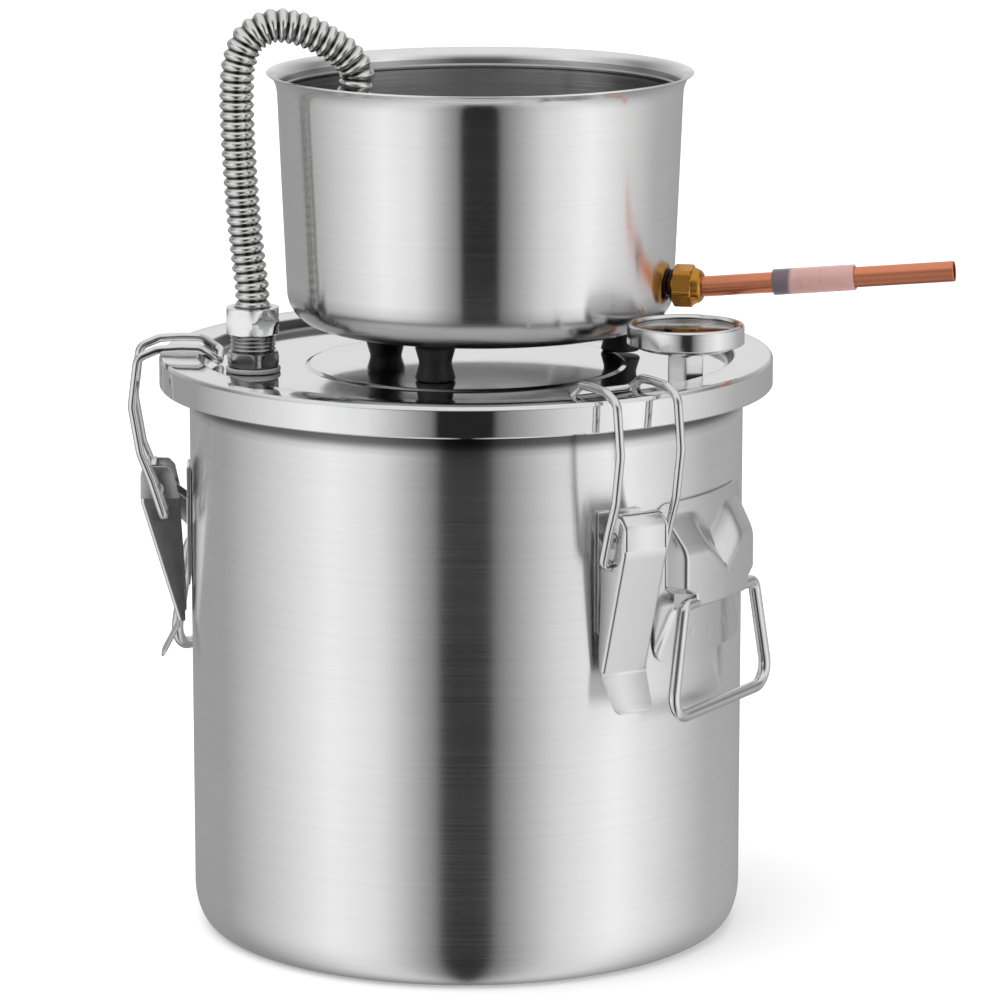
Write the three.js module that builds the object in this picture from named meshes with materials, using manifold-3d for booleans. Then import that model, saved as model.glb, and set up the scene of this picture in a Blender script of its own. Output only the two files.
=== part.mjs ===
// Countertop pot still: clamp-lid boiler, vapour riser hose, water-bath condenser pot on three feet, copper outlet.
// Millimetres, +Z up. Origin: centre of the boiler's flat base. Handles near +X and -X, one clamp on +Y.
import * as THREE from 'three';
import { mergeVertices } from 'three/addons/utils/BufferGeometryUtils.js';
import Module from 'manifold-3d';

const wasm = await Module();
wasm.setup();

// ---------- driving dimensions ----------
const SHEET = 1.2;                 // stainless sheet thickness
const POT_R = 125;                 // boiler body outer radius
const POT_TOP = 250.2;             // underside of the boiler's rim flange
const FLANGE_R = 134.6;            // rim flange outer radius
const LID_R = 138.4;               // lid skirt outer radius
const LID_SKIRT_Z = 248.4;         // lower edge of the skirt
const LID_BAND_Z = 262.2;          // flat outer band of the lid
const LID_FLOOR_Z = 256.6;         // recessed floor of the lid
const LID_DISC_Z = 257.6;          // raised centre disc
const LID_DISC_R = 72.5;
const LID_STEP_R0 = 118.2, LID_STEP_R1 = 121.0;
const PLAN_TURN = 28;              // plan angle of the riser, condenser and outlet group, degrees
const COND_X = 6.4, COND_Y = 14;   // condenser axis in that turned group
const COND_Z = 273.7;              // condenser pot's bottom
const COND_TOP = 387.6;            // condenser rim
const COND_R_LOW = 87.6, COND_R_TOP = 91.4, COND_R_RIM = 96.1;
const FOOT_R = 65.5, FOOT_AZ = [-107.5, 12.5, 132.5];
const VAP_X = -95.2, VAP_Y = -20;  // vapour outlet on the lid, turned group
const VAP_STEM_R = 10.2;
const HOSE_R = 7.75, HOSE_BORE = 6.1;
const THERM_X = 97, THERM_Y = -53.7; // thermometer on the lid, turned group
const THERM_R = 25.9, THERM_TOP = 284.0;
const OUT_AZ = -14;                // outlet direction in the turned group
const OUT_Z = 293.6;
const OUT_RISE = 5.7;              // the copper tube rises by this angle
const LATCH_AZ = [-30, 90, 210];
const PIN_X = 139.5, PIN_Z = 202;      // lever pivot
const HOOK_X = 136.8, HOOK_Z = 190;      // bail hooks in the lever
const BAIL_Y = 15.5, BAIL_R = 1.95;
const HANDLE_AZ = [-3.7, 176.3];
const GRIP_X = 131.6, GRIP_Z = 166, GRIP_R = 2.75;
const rad = (d) => d * Math.PI / 180;

// ---------- geometry helpers ----------
function clean(geometry) {
  let g = geometry.clone();
  g.deleteAttribute('normal');
  g.deleteAttribute('uv');
  g = mergeVertices(g, 1e-4);
  const idx = g.index.array, out = [];
  for (let i = 0; i < idx.length; i += 3) {
    const [a, b, c] = [idx[i], idx[i + 1], idx[i + 2]];
    if (a !== b && b !== c && a !== c) out.push(a, b, c);
  }
  const p = g.attributes.position.array;
  let vol = 0;
  for (let i = 0; i < out.length; i += 3) {
    const [a, b, c] = [out[i] * 3, out[i + 1] * 3, out[i + 2] * 3];
    vol += p[a] * (p[b + 1] * p[c + 2] - p[b + 2] * p[c + 1])
      - p[a + 1] * (p[b] * p[c + 2] - p[b + 2] * p[c])
      + p[a + 2] * (p[b] * p[c + 1] - p[b + 1] * p[c]);
  }
  if (vol < 0) for (let i = 0; i < out.length; i += 3) [out[i], out[i + 1]] = [out[i + 1], out[i]];
  g.setIndex(out);
  return g;
}
const solid = (g) => {
  const c = clean(g);
  return new wasm.Manifold(new wasm.Mesh({
    numProp: 3, vertProperties: new Float32Array(c.attributes.position.array), triVerts: new Uint32Array(c.index.array),
  }));
};
function geo(m) {
  const k = m.getMesh();
  const g = new THREE.BufferGeometry();
  g.setAttribute('position', new THREE.BufferAttribute(new Float32Array(k.vertProperties), 3));
  g.setIndex([...k.triVerts]);
  return g;
}
const cut = (a, ...bs) => geo(bs.reduce((m, b) => m.subtract(solid(b)), solid(a)));
const join = (a, ...bs) => geo(bs.reduce((m, b) => m.add(solid(b)), solid(a)));
// closed or axis-to-axis profile of [r, z] pairs, turned about Z
function turned(profile, seg = 24, closed = false) {
  const pts = profile.map(([r, z]) => new THREE.Vector2(r, z));
  if (closed) pts.push(pts[0].clone());
  return new THREE.LatheGeometry(pts, seg).rotateX(Math.PI / 2);
}
function ring(r0, r1, z0, z1, seg = 24) {
  return turned([[r0, z0], [r1, z0], [r1, z1], [r0, z1]], seg, true);
}
function rod(r, z0, z1, seg = 16) {
  return new THREE.CylinderGeometry(r, r, z1 - z0, seg).rotateX(Math.PI / 2).translate(0, 0, (z0 + z1) / 2);
}
function hexShape(af) {
  const s = new THREE.Shape(), R = af / Math.sqrt(3);
  for (let i = 0; i < 6; i++) {
    const a = rad(60 * i);
    i ? s.lineTo(R * Math.cos(a), R * Math.sin(a)) : s.moveTo(R * Math.cos(a), R * Math.sin(a));
  }
  s.closePath();
  return s;
}
function hex(af, z0, z1, bore = 0, seg = 8) {
  const s = hexShape(af);
  if (bore) { const h = new THREE.Path(); h.absarc(0, 0, bore, 0, 2 * Math.PI, true); s.holes.push(h); }
  return new THREE.ExtrudeGeometry(s, { depth: z1 - z0, bevelEnabled: false, curveSegments: seg }).translate(0, 0, z0);
}
// polygon in local X-Z, extruded along Y from y0 to y1
function slabXZ(poly, y0, y1) {
  const s = new THREE.Shape(poly.map(([x, z]) => new THREE.Vector2(x, z)));
  return new THREE.ExtrudeGeometry(s, { depth: y1 - y0, bevelEnabled: false }).rotateX(Math.PI / 2).translate(0, y1, 0);
}
function box(x0, x1, y0, y1, z0, z1) {
  return new THREE.BoxGeometry(x1 - x0, y1 - y0, z1 - z0).translate((x0 + x1) / 2, (y0 + y1) / 2, (z0 + z1) / 2);
}
const rodY = (r, y0, y1, x, z, seg = 16) => new THREE.CylinderGeometry(r, r, y1 - y0, seg).translate(x, (y0 + y1) / 2, z);
const rodX = (r, x0, x1, y, z, seg = 16) => new THREE.CylinderGeometry(r, r, x1 - x0, seg).rotateZ(-Math.PI / 2).translate((x0 + x1) / 2, y, z);
// polyline with rounded corners as one path
function rounded(points, radii) {
  const P = points.map((p) => new THREE.Vector3(...p));
  const path = new THREE.CurvePath();
  let from = P[0];
  for (let i = 1; i < P.length - 1; i++) {
    const r = Array.isArray(radii) ? radii[i - 1] : radii;
    const a = P[i].clone().sub(P[i - 1]), b = P[i + 1].clone().sub(P[i]);
    const turn = a.angleTo(b);
    const t = Math.min(r * Math.tan(turn / 2), a.length() * 0.48, b.length() * 0.48);
    const q0 = P[i].clone().sub(a.normalize().multiplyScalar(t));
    const q1 = P[i].clone().add(b.normalize().multiplyScalar(t));
    path.add(new THREE.LineCurve3(from, q0));
    path.add(new THREE.QuadraticBezierCurve3(q0, P[i].clone(), q1));
    from = q1;
  }
  path.add(new THREE.LineCurve3(from, P[P.length - 1]));
  return path;
}
function tube(path, r, steps, sides = 8, bore = 0, boreSides = 6) {
  const s = new THREE.Shape();
  for (let i = 0; i < sides; i++) {
    const a = 2 * Math.PI * i / sides;
    i ? s.lineTo(r * Math.cos(a), r * Math.sin(a)) : s.moveTo(r * Math.cos(a), r * Math.sin(a));
  }
  s.closePath();
  if (bore) {
    const h = new THREE.Path();
    for (let i = 0; i < boreSides; i++) {
      const a = -2 * Math.PI * i / boreSides;
      i ? h.lineTo(bore * Math.cos(a), bore * Math.sin(a)) : h.moveTo(bore * Math.cos(a), bore * Math.sin(a));
    }
    h.closePath();
    s.holes.push(h);
  }
  return new THREE.ExtrudeGeometry(s, { steps, extrudePath: path, bevelEnabled: false });
}

// ---------- finishes ----------
const FIN = {
  steel: [0xc9c9cb, 0.28, 1.0], steel_bright: [0xd6d6d8, 0.14, 1.0], steel_satin: [0xb9b9bb, 0.36, 1.0],
  copper: [0xcd7355, 0.34, 1.0], brass: [0xb07a24, 0.3, 1.0], silicone: [0xd9d9d6, 0.55, 0.0],
  rubber: [0x151515, 0.5, 0.0], sleeve: [0xd9a79a, 0.35, 0.0], glass: [0xeef2f2, 0.05, 0.0], dial: [0xf2f2ee, 0.6, 0.0], ink: [0x1a1a1a, 0.5, 0.0],
};
const still = new THREE.Group();
function add(parent, name, geometry, fin) {
  const [color, roughness, metalness] = FIN[fin];
  const m = new THREE.Mesh(clean(geometry), new THREE.MeshStandardMaterial({ color, roughness, metalness, transparent: fin === 'glass' || fin === 'sleeve', opacity: fin === 'glass' ? 0.3 : 1 }));
  m.name = name;
  parent.add(m);
  return m;
}
function turn(deg, x = 0, y = 0) {
  const g = new THREE.Group();
  g.rotation.z = rad(deg);
  g.position.set(x, y, 0);
  return g;
}

// ---------- boiler ----------
const corner = (r, dz, n, inset, base) => Array.from({ length: n + 1 }, (_, i) => {
  const t = rad(90 * i / n);
  return [r - 9 + (9 - inset) * Math.sin(t), base + (18 - inset) * (1 - Math.cos(t)) + dz];
});
add(still, 'boiler_pot', turned([
  [0, 0], ...corner(POT_R, 0, 3, 0, 0), [POT_R, POT_TOP], [FLANGE_R - 0.6, POT_TOP], [FLANGE_R, POT_TOP + 0.6], [FLANGE_R - 0.6, POT_TOP + SHEET],
  [POT_R - SHEET, POT_TOP + SHEET], ...corner(POT_R, 0, 3, SHEET, SHEET).reverse(), [0, SHEET],
], 40), 'steel');
add(still, 'lid_gasket', turned([[124.6, 251.8], [134.6, 251.8], [136.6, 258.8], [134.6, 260.6], [124.6, 260.6]], 40, true), 'silicone');

const turnedGroup = turn(PLAN_TURN);
still.add(turnedGroup);
const at = (x, y) => { const c = Math.cos(rad(PLAN_TURN)), s = Math.sin(rad(PLAN_TURN)); return [x * c - y * s, x * s + y * c]; };
const [vx, vy] = at(VAP_X, VAP_Y), [tx, ty] = at(THERM_X, THERM_Y);
const lidBody = turned([
  [0, LID_DISC_Z], [LID_DISC_R - 2.5, LID_DISC_Z], [LID_DISC_R, LID_DISC_Z - 0.8], [LID_DISC_R + 1.5, LID_FLOOR_Z], [LID_STEP_R0, LID_FLOOR_Z],
  [LID_STEP_R1, LID_BAND_Z], [LID_R - 2.0, LID_BAND_Z], [LID_R, LID_BAND_Z - 2.0], [LID_R, LID_SKIRT_Z],
  [LID_R - SHEET, LID_SKIRT_Z], [LID_R - SHEET, LID_BAND_Z - 2.8], [LID_R - 3, LID_BAND_Z - SHEET], [LID_STEP_R1 + 0.4, LID_BAND_Z - SHEET],
  [LID_STEP_R0 + 0.4, LID_FLOOR_Z - SHEET], [LID_DISC_R + 1, LID_FLOOR_Z - SHEET], [LID_DISC_R - 3, LID_DISC_Z - SHEET], [0, LID_DISC_Z - SHEET],
], 40);
add(still, 'boiler_lid', cut(lidBody, rod(VAP_STEM_R + 0.5, 240, 270, 20).translate(vx, vy, 0), rod(7.1, 240, 270, 16).translate(tx, ty, 0)), 'steel_bright');

// ---------- draw clamps ----------
const latchNames = ['front', 'rear', 'left'];
LATCH_AZ.forEach((az, i) => {
  const n = latchNames[i], g = turn(az);
  still.add(g);
  // base plate with two pin ears
  const ear = [[125.9, 184], [134, 192.6], [141.4, 198], [143.2, 202], [141.6, 205.3], [138.2, 205.7], [125.9, 196.0]];
  add(g, `latch_base_${n}`, cut(join(box(125.3, 126.5, -11, 11, 157, 211.5), slabXZ(ear, 8.2, 9.4), slabXZ(ear, -9.4, -8.2)),
    rodY(1.95, -12, 12, PIN_X, PIN_Z, 12)), 'steel_satin');
  add(g, `latch_pin_${n}`, join(rodY(1.6, -12.4, 12.4, PIN_X, PIN_Z, 12), rodY(2.7, 11.7, 12.7, PIN_X, PIN_Z, 12), rodY(2.7, -12.7, -11.7, PIN_X, PIN_Z, 12)), 'steel_satin');
  // channel lever: web, two flanges, thumb tab
  const flange = [[132.0, 209.0], [134.6, 211.9], [142.6, 212.4], [147.0, 208.4], [147.2, 196], [130.6, 139.6], [127.7, 140.0], [127.7, 150], [129.8, 184], [129.6, 197]];
  const web = [[140.4, 213.0], [143.4, 212.6], [147.2, 208.6], [147.4, 196], [130.6, 139.6], [139.0, 124.0], [137.9, 123.4], [129.3, 139.4], [146.1, 196.2], [145.9, 208.0], [142.8, 211.3], [140.4, 211.6]];
  const lever = cut(join(slabXZ(web, -11.4, 11.4), slabXZ(flange, 10.2, 11.4), slabXZ(flange, -11.4, -10.2)),
    rodY(1.78, -14, 14, PIN_X, PIN_Z, 12), rodY(BAIL_R + 0.3, -14, 14, HOOK_X, HOOK_Z, 12));
  add(g, `latch_lever_${n}`, lever, 'steel_satin');
  const side = [[HOOK_X, 10.0, HOOK_Z], [HOOK_X, BAIL_Y, HOOK_Z], [142.0, BAIL_Y, 206.5], [146.9, BAIL_Y, 219], [150.4, BAIL_Y, 240.5], [147.6, BAIL_Y, 262.6],
    [138.6, BAIL_Y, 266.4], [128, BAIL_Y, 266.9], [119.6, BAIL_Y, 266.6], [111, BAIL_Y, 260.9]];
  const loop = [...side, ...side.map(([x, y, z]) => [x, -y, z]).reverse()];
  const r = [2.6, 12, 12, 10, 5, 6, 8, 4, 3, 3, 4, 8, 6, 5, 10, 12, 12, 2.6];
  add(g, `latch_bail_${n}`, tube(rounded(loop, r), BAIL_R, 50, 6), 'steel_bright');
});

// ---------- side handles ----------
['right', 'left'].forEach((n, i) => {
  const g = turn(HANDLE_AZ[i]);
  still.add(g);
  // pad that follows the wall, with a raised housing over the grip's pivots
  const pad = new THREE.Shape();
  [[-38, 150], [-36, 144], [-30, 140.5], [-22, 139.5], [22, 139.5], [30, 140.5], [36, 144], [38, 150], [38, 200], [36.5, 206], [31, 210], [26, 210.5], [-26, 210.5], [-31, 210], [-36.5, 206], [-38, 200]]
    .forEach(([y, z], k) => (k ? pad.lineTo(y, z) : pad.moveTo(y, z)));
  pad.closePath();
  const block = new THREE.ExtrudeGeometry(pad, { depth: 40, bevelEnabled: false });
  // shape X-Y becomes world Y-Z, depth becomes +X
  block.applyMatrix4(new THREE.Matrix4().makeBasis(new THREE.Vector3(0, 1, 0), new THREE.Vector3(0, 0, 1), new THREE.Vector3(1, 0, 0))).translate(105, 0, 0);
  const shellPad = geo(solid(block).intersect(solid(ring(125.3, 126.6, 130, 215, 72))));
  // the housing: one raised band across the pad with two horns, cut back at its lower corners where the grip turns down
  const outline = new THREE.Shape([[-25.5, 162.7], [25.5, 162.7], [25.5, 172], [31, 173], [31, 189], [27, 201], [17, 202.5], [0, 189], [-17, 202.5], [-27, 201], [-31, 189], [-31, 173], [-25.5, 172]]
    .map(([y, z]) => new THREE.Vector2(y, z)));
  const core = new THREE.ExtrudeGeometry(outline, { depth: 40, bevelEnabled: false });
  core.applyMatrix4(new THREE.Matrix4().makeBasis(new THREE.Vector3(0, 1, 0), new THREE.Vector3(0, 0, 1), new THREE.Vector3(1, 0, 0))).translate(105, 0, 0);
  const swell = turned([[125.9, 160], [135.0, 162.7], [136.2, 164.5], [136.2, 187], [128, 203.5], [125.9, 203.5]], 72, true);
  const housing = geo(solid(core).intersect(solid(swell)).subtract(solid(rodY(GRIP_R + 0.35, -40, 40, GRIP_X, GRIP_Z, 14))));
  add(g, `handle_bracket_${n}`, join(shellPad, housing), 'steel_satin');
  const legs = [[GRIP_X, -12, GRIP_Z], [GRIP_X, -31.5, GRIP_Z], [GRIP_X + 1.2, -43.6, 117], [GRIP_X + 1.2, 43.6, 117], [GRIP_X, 31.5, GRIP_Z], [GRIP_X, 12, GRIP_Z]];
  add(g, `handle_bail_${n}`, tube(rounded(legs, [4.5, 9, 9, 4.5]), GRIP_R, 32, 8), 'steel_bright');
});

// ---------- vapour outlet on the lid ----------
const vap = new THREE.Group();
vap.position.set(VAP_X, VAP_Y, 0);
turnedGroup.add(vap);
add(vap, 'vapour_fitting', cut(join(hex(21.8, 259.2, 266.0).rotateZ(rad(42)), rod(VAP_STEM_R, 243.5, 284.2, 20)), rod(7.4, 240, 290, 16)), 'steel_satin');
add(vap, 'vapour_washer', ring(VAP_STEM_R + 0.4, 12.3, 256.9, 258.9, 20), 'silicone');
add(vap, 'vapour_locknut', hex(29, 248.6, 254.9, VAP_STEM_R + 0.4), 'steel_satin');
const nutBody = hex(23.4, 273.9, 286.0).rotateZ(rad(32));
add(vap, 'hose_nut', cut(nutBody, rod(VAP_STEM_R + 0.45, 270, 284.6, 20), rod(HOSE_R + 0.45, 284, 290, 16)), 'steel_bright');

// ---------- condenser ----------
const cond = new THREE.Group();
cond.position.set(COND_X, COND_Y, 0);
turnedGroup.add(cond);
const CR = 15;
const arc = (cx, cz, r, a0, a1, n) => Array.from({ length: n + 1 }, (_, i) => { const a = rad(a0 + (a1 - a0) * i / n); return [cx + r * Math.cos(a), cz + r * Math.sin(a)]; });
const condShell = turned([
  [0, COND_Z], ...arc(COND_R_LOW - CR, COND_Z + CR, CR, -90, 0, 3), [COND_R_TOP, COND_TOP - 8.5], [COND_R_TOP + 1.4, COND_TOP - 4.5], [COND_R_TOP + 3.4, COND_TOP - 1.9], [COND_R_RIM, COND_TOP - 1.1],
  [COND_R_RIM, COND_TOP], [COND_R_RIM - 1.8, COND_TOP - 0.4], [COND_R_TOP + 0.6, COND_TOP - 3.6], [COND_R_TOP - SHEET, COND_TOP - 8.2],
  ...arc(COND_R_LOW - CR, COND_Z + CR, CR - SHEET, 0, -90, 3), [0, COND_Z + SHEET],
], 36);
add(cond, 'condenser_pot', cut(condShell, rodX(5.6, 70, 110, 0, OUT_Z, 16).rotateZ(rad(OUT_AZ))), 'steel');
FOOT_AZ.forEach((a, i) => {
  const f = add(cond, `condenser_foot_${['front', 'right', 'rear'][i]}`, turned([[0, 0], [8.7, 0], [9.1, 1.2], [7.2, 7.7], [9.1, 14.3], [8.7, 15.5], [0, 15.5]], 16), 'rubber');
  f.position.set(FOOT_R * Math.cos(rad(a)), FOOT_R * Math.sin(rad(a)), LID_DISC_Z + 0.3);
});

// outlet through the condenser wall, along local +X of the outlet group
const out = turn(OUT_AZ);
cond.add(out);
const alongX = (g) => g.rotateY(Math.PI / 2).translate(0, 0, OUT_Z);
add(out, 'outlet_bulkhead', alongX(cut(join(hex(13.5, 78.9, 83.8), rod(5.1, 72, 96.5, 16)), rod(3.3, 60, 104, 12))), 'brass');
add(out, 'coil_end_nut', alongX(cut(hex(22, 67.9, 77.6), rod(HOSE_R + 1.25, 60, 71.3, 14), rod(5.5, 70, 80, 14))), 'steel_bright');
add(out, 'outlet_washer_inner', alongX(ring(5.5, 7.6, 84.1, 85.3, 12)), 'silicone');
add(out, 'outlet_washer_outer', alongX(ring(5.5, 8.0, 88.4, 89.6, 12)), 'silicone');
add(out, 'outlet_nut', alongX(cut(join(hex(17.4, 89.8, 98.8), turned([[0, 98.4], [8.7, 98.4], [7.2, 101.8], [6.2, 102.8], [0, 102.8]], 18)),
  rod(5.5, 85, 96.8, 16), rod(4.85, 96, 110, 16))), 'brass');
const T1 = [97.0, 134.5], RISE = rad(OUT_RISE), BEND = 104;
const rise = (x) => (x <= BEND ? OUT_Z : OUT_Z + (x - BEND) * Math.tan(RISE));
const p3 = (x) => [x, 0, rise(x)];
add(out, 'outlet_tube_inner', tube(rounded([p3(T1[0]), p3(BEND), p3(137)], 30), 4.65, 5, 10, 3.7, 8), 'copper');
add(out, 'outlet_tube_end', tube(new THREE.LineCurve3(new THREE.Vector3(...p3(143.2)), new THREE.Vector3(...p3(216.3))), 4.6, 1, 12, 3.6, 10), 'copper');
add(out, 'outlet_sleeve', tube(new THREE.LineCurve3(new THREE.Vector3(...p3(135.1)), new THREE.Vector3(...p3(171.9))), 5.8, 1, 16, 4.95, 14), 'sleeve');

// ---------- corrugated hose: riser, arch over the rim, coil in the water bath, end at the outlet ----------
const coilR = 60, coilTop = 356, turns = 3.0;
const entry = Math.atan2(-22, -59.4);          // plan angle where the hose drops on to the coil
const hosePts = [
  [VAP_X, VAP_Y, 284.9], [VAP_X - 0.2, VAP_Y, 294], [-96.8, -19.6, 306], [-98.6, -19.4, 324], [-100.2, -19, 346], [-101.2, -18.6, 366], [-101.4, -18.2, 382],
  [-100.2, -17.8, 395], [-95.6, -17, 405.4], [-86, -15.6, 410.8], [-74, -14, 409.6], [-62, -12.4, 404], [-53, -10.8, 397.2], [-48.4, -9.4, 389.4], [-49.6, -8.9, 380.4],
].map((p) => new THREE.Vector3(...p));
const N = 14;
for (let i = 0; i <= turns * N; i++) {
  // runs clockwise in plan from the entry, then falls at a steady pitch
  const t = i / N, a = entry - 0.16 - t * 2 * Math.PI * 0 + t * 2 * Math.PI;
  const ease = Math.min(1, t / 0.35);
  const z = coilTop + 10 * (1 - ease) * (1 - ease) - t * 19.1;
  hosePts.push(new THREE.Vector3(COND_X + coilR * Math.cos(a), COND_Y + coilR * Math.sin(a), z));
}
// last part turn: curls in, then out along the outlet
const endA = entry - 0.16 + turns * 2 * Math.PI, outA = rad(OUT_AZ) + 2 * Math.PI * Math.ceil((endA - rad(OUT_AZ)) / (2 * Math.PI));
const span = outA - endA;
for (const [f, r] of [[0.22, 57], [0.42, 50], [0.62, 42], [0.8, 37], [0.93, 38.5], [0.985, 45]]) {
  const a = endA + span * f, z = coilTop - turns * 19.1 + (OUT_Z - (coilTop - turns * 19.1)) * Math.min(1, f / 0.8);
  hosePts.push(new THREE.Vector3(COND_X + r * Math.cos(a), COND_Y + r * Math.sin(a), z));
}
for (const r of [54, 62, 70.8]) hosePts.push(new THREE.Vector3(COND_X + r * Math.cos(outA), COND_Y + r * Math.sin(outA), OUT_Z));
const hosePath = new THREE.CatmullRomCurve3(hosePts, false, 'centripetal');
hosePath.arcLengthDivisions = 1200;
class Length extends THREE.Curve {
  constructor(t0, t1) { super(); this.t0 = t0; this.t1 = t1; this.arcLengthDivisions = 400; }
  getPoint(t, target) { return hosePath.getPoint(this.t0 + (this.t1 - this.t0) * t, target); }
  getTangent(t, target) { return hosePath.getTangent(this.t0 + (this.t1 - this.t0) * t, target); }
}
// one hose, kept as five lengths so that each stays a simple bent tube
const lastPt = hosePts.length - 1, EPS = 6e-5;
[['hose_riser', 0, 12.5, 26], ['hose_coil_1', 12.5, 15 + N, 23], ['hose_coil_2', 15 + N, 15 + 2 * N, 18], ['hose_coil_3', 15 + 2 * N, 15 + 3 * N, 18], ['hose_outlet_run', 15 + 3 * N, lastPt, 16]].forEach(([name, i0, i1, steps]) => {
  add(turnedGroup, name, tube(new Length(i0 / lastPt + (i0 ? EPS : 0), i1 / lastPt - (i1 < lastPt ? EPS : 0)), HOSE_R, steps, 7, HOSE_BORE, 5), 'steel_bright');
});

// ---------- thermometer ----------
const th = new THREE.Group();
th.position.set(THERM_X, THERM_Y, 0);
turnedGroup.add(th);
add(th, 'thermometer_stem', join(hex(14, 257.0, 266.0), rod(6.6, 244.5, 257.5, 16), rod(3.0, 165, 245, 10), rod(6.0, 265.5, 272.2, 16)), 'steel_satin');
add(th, 'thermometer_locknut', hex(19, 249, 254.9, 7.0), 'steel_satin');
add(th, 'thermometer_case', turned([[0, 272.5], [19, 272.5], [22.8, 273.7], [THERM_R, 274.9], [THERM_R, THERM_TOP - 0.6], [THERM_R - 0.8, THERM_TOP], [23.4, THERM_TOP], [22.9, 282.9], [22.9, 282.4], [24.2, 282.4], [24.2, 277.5], [0, 277.5]], 26), 'steel_bright');
add(th, 'thermometer_dial', cut(rod(23.8, 277.8, 278.4, 28), rod(1.3, 270, 285, 10)), 'dial');
add(th, 'thermometer_pointer', join(rod(0.9, 277.85, 280.1, 8), rod(2.2, 278.9, 279.6, 12), slabXZ([[-6, 279.0], [18.5, 279.0], [18.5, 279.5], [-6, 279.5]], -0.55, 0.55)), 'ink');
add(th, 'thermometer_lens', rod(23.8, 280.8, 282.1, 28), 'glass');

export default still;
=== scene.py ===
import bpy, bmesh, math, random
import numpy as np
from mathutils import Vector, Matrix, noise


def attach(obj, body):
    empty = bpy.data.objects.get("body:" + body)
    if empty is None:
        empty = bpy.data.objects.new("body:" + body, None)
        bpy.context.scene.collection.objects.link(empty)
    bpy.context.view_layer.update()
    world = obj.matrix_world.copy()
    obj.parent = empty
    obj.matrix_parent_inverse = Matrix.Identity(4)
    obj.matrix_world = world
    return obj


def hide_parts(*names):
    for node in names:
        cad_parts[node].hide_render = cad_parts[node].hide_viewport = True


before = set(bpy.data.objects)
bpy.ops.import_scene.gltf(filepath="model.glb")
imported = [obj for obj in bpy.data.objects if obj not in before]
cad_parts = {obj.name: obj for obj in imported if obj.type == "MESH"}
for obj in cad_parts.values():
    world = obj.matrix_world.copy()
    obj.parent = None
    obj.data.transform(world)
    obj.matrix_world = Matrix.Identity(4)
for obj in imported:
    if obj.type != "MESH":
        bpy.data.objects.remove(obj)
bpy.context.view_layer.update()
S = 0.001
rad = math.radians
PLAN = 28.0

# ------------------------------------------------------------------ camera, floor, light
cam = bpy.data.cameras.new("camera")
cam_o = bpy.data.objects.new("camera", cam)
bpy.context.scene.collection.objects.link(cam_o)
cx_, cy_ = 0.01526, -2.2032
c28, s28 = math.cos(rad(PLAN)), math.sin(rad(PLAN))
cam_o.location = (cx_ * c28 - cy_ * s28, cx_ * s28 + cy_ * c28, 0.6495)
cam_o.rotation_euler = (rad(90 - 11.644), 0, rad(PLAN))
cam.sensor_width = 36
cam.lens = 178.3
cam.shift_y = -0.0042
cam.clip_end = 60
bpy.context.scene.camera = cam_o
bpy.context.scene.view_settings.view_transform = "Standard"


def link(o):
    bpy.context.scene.collection.objects.link(o)
    return o


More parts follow.
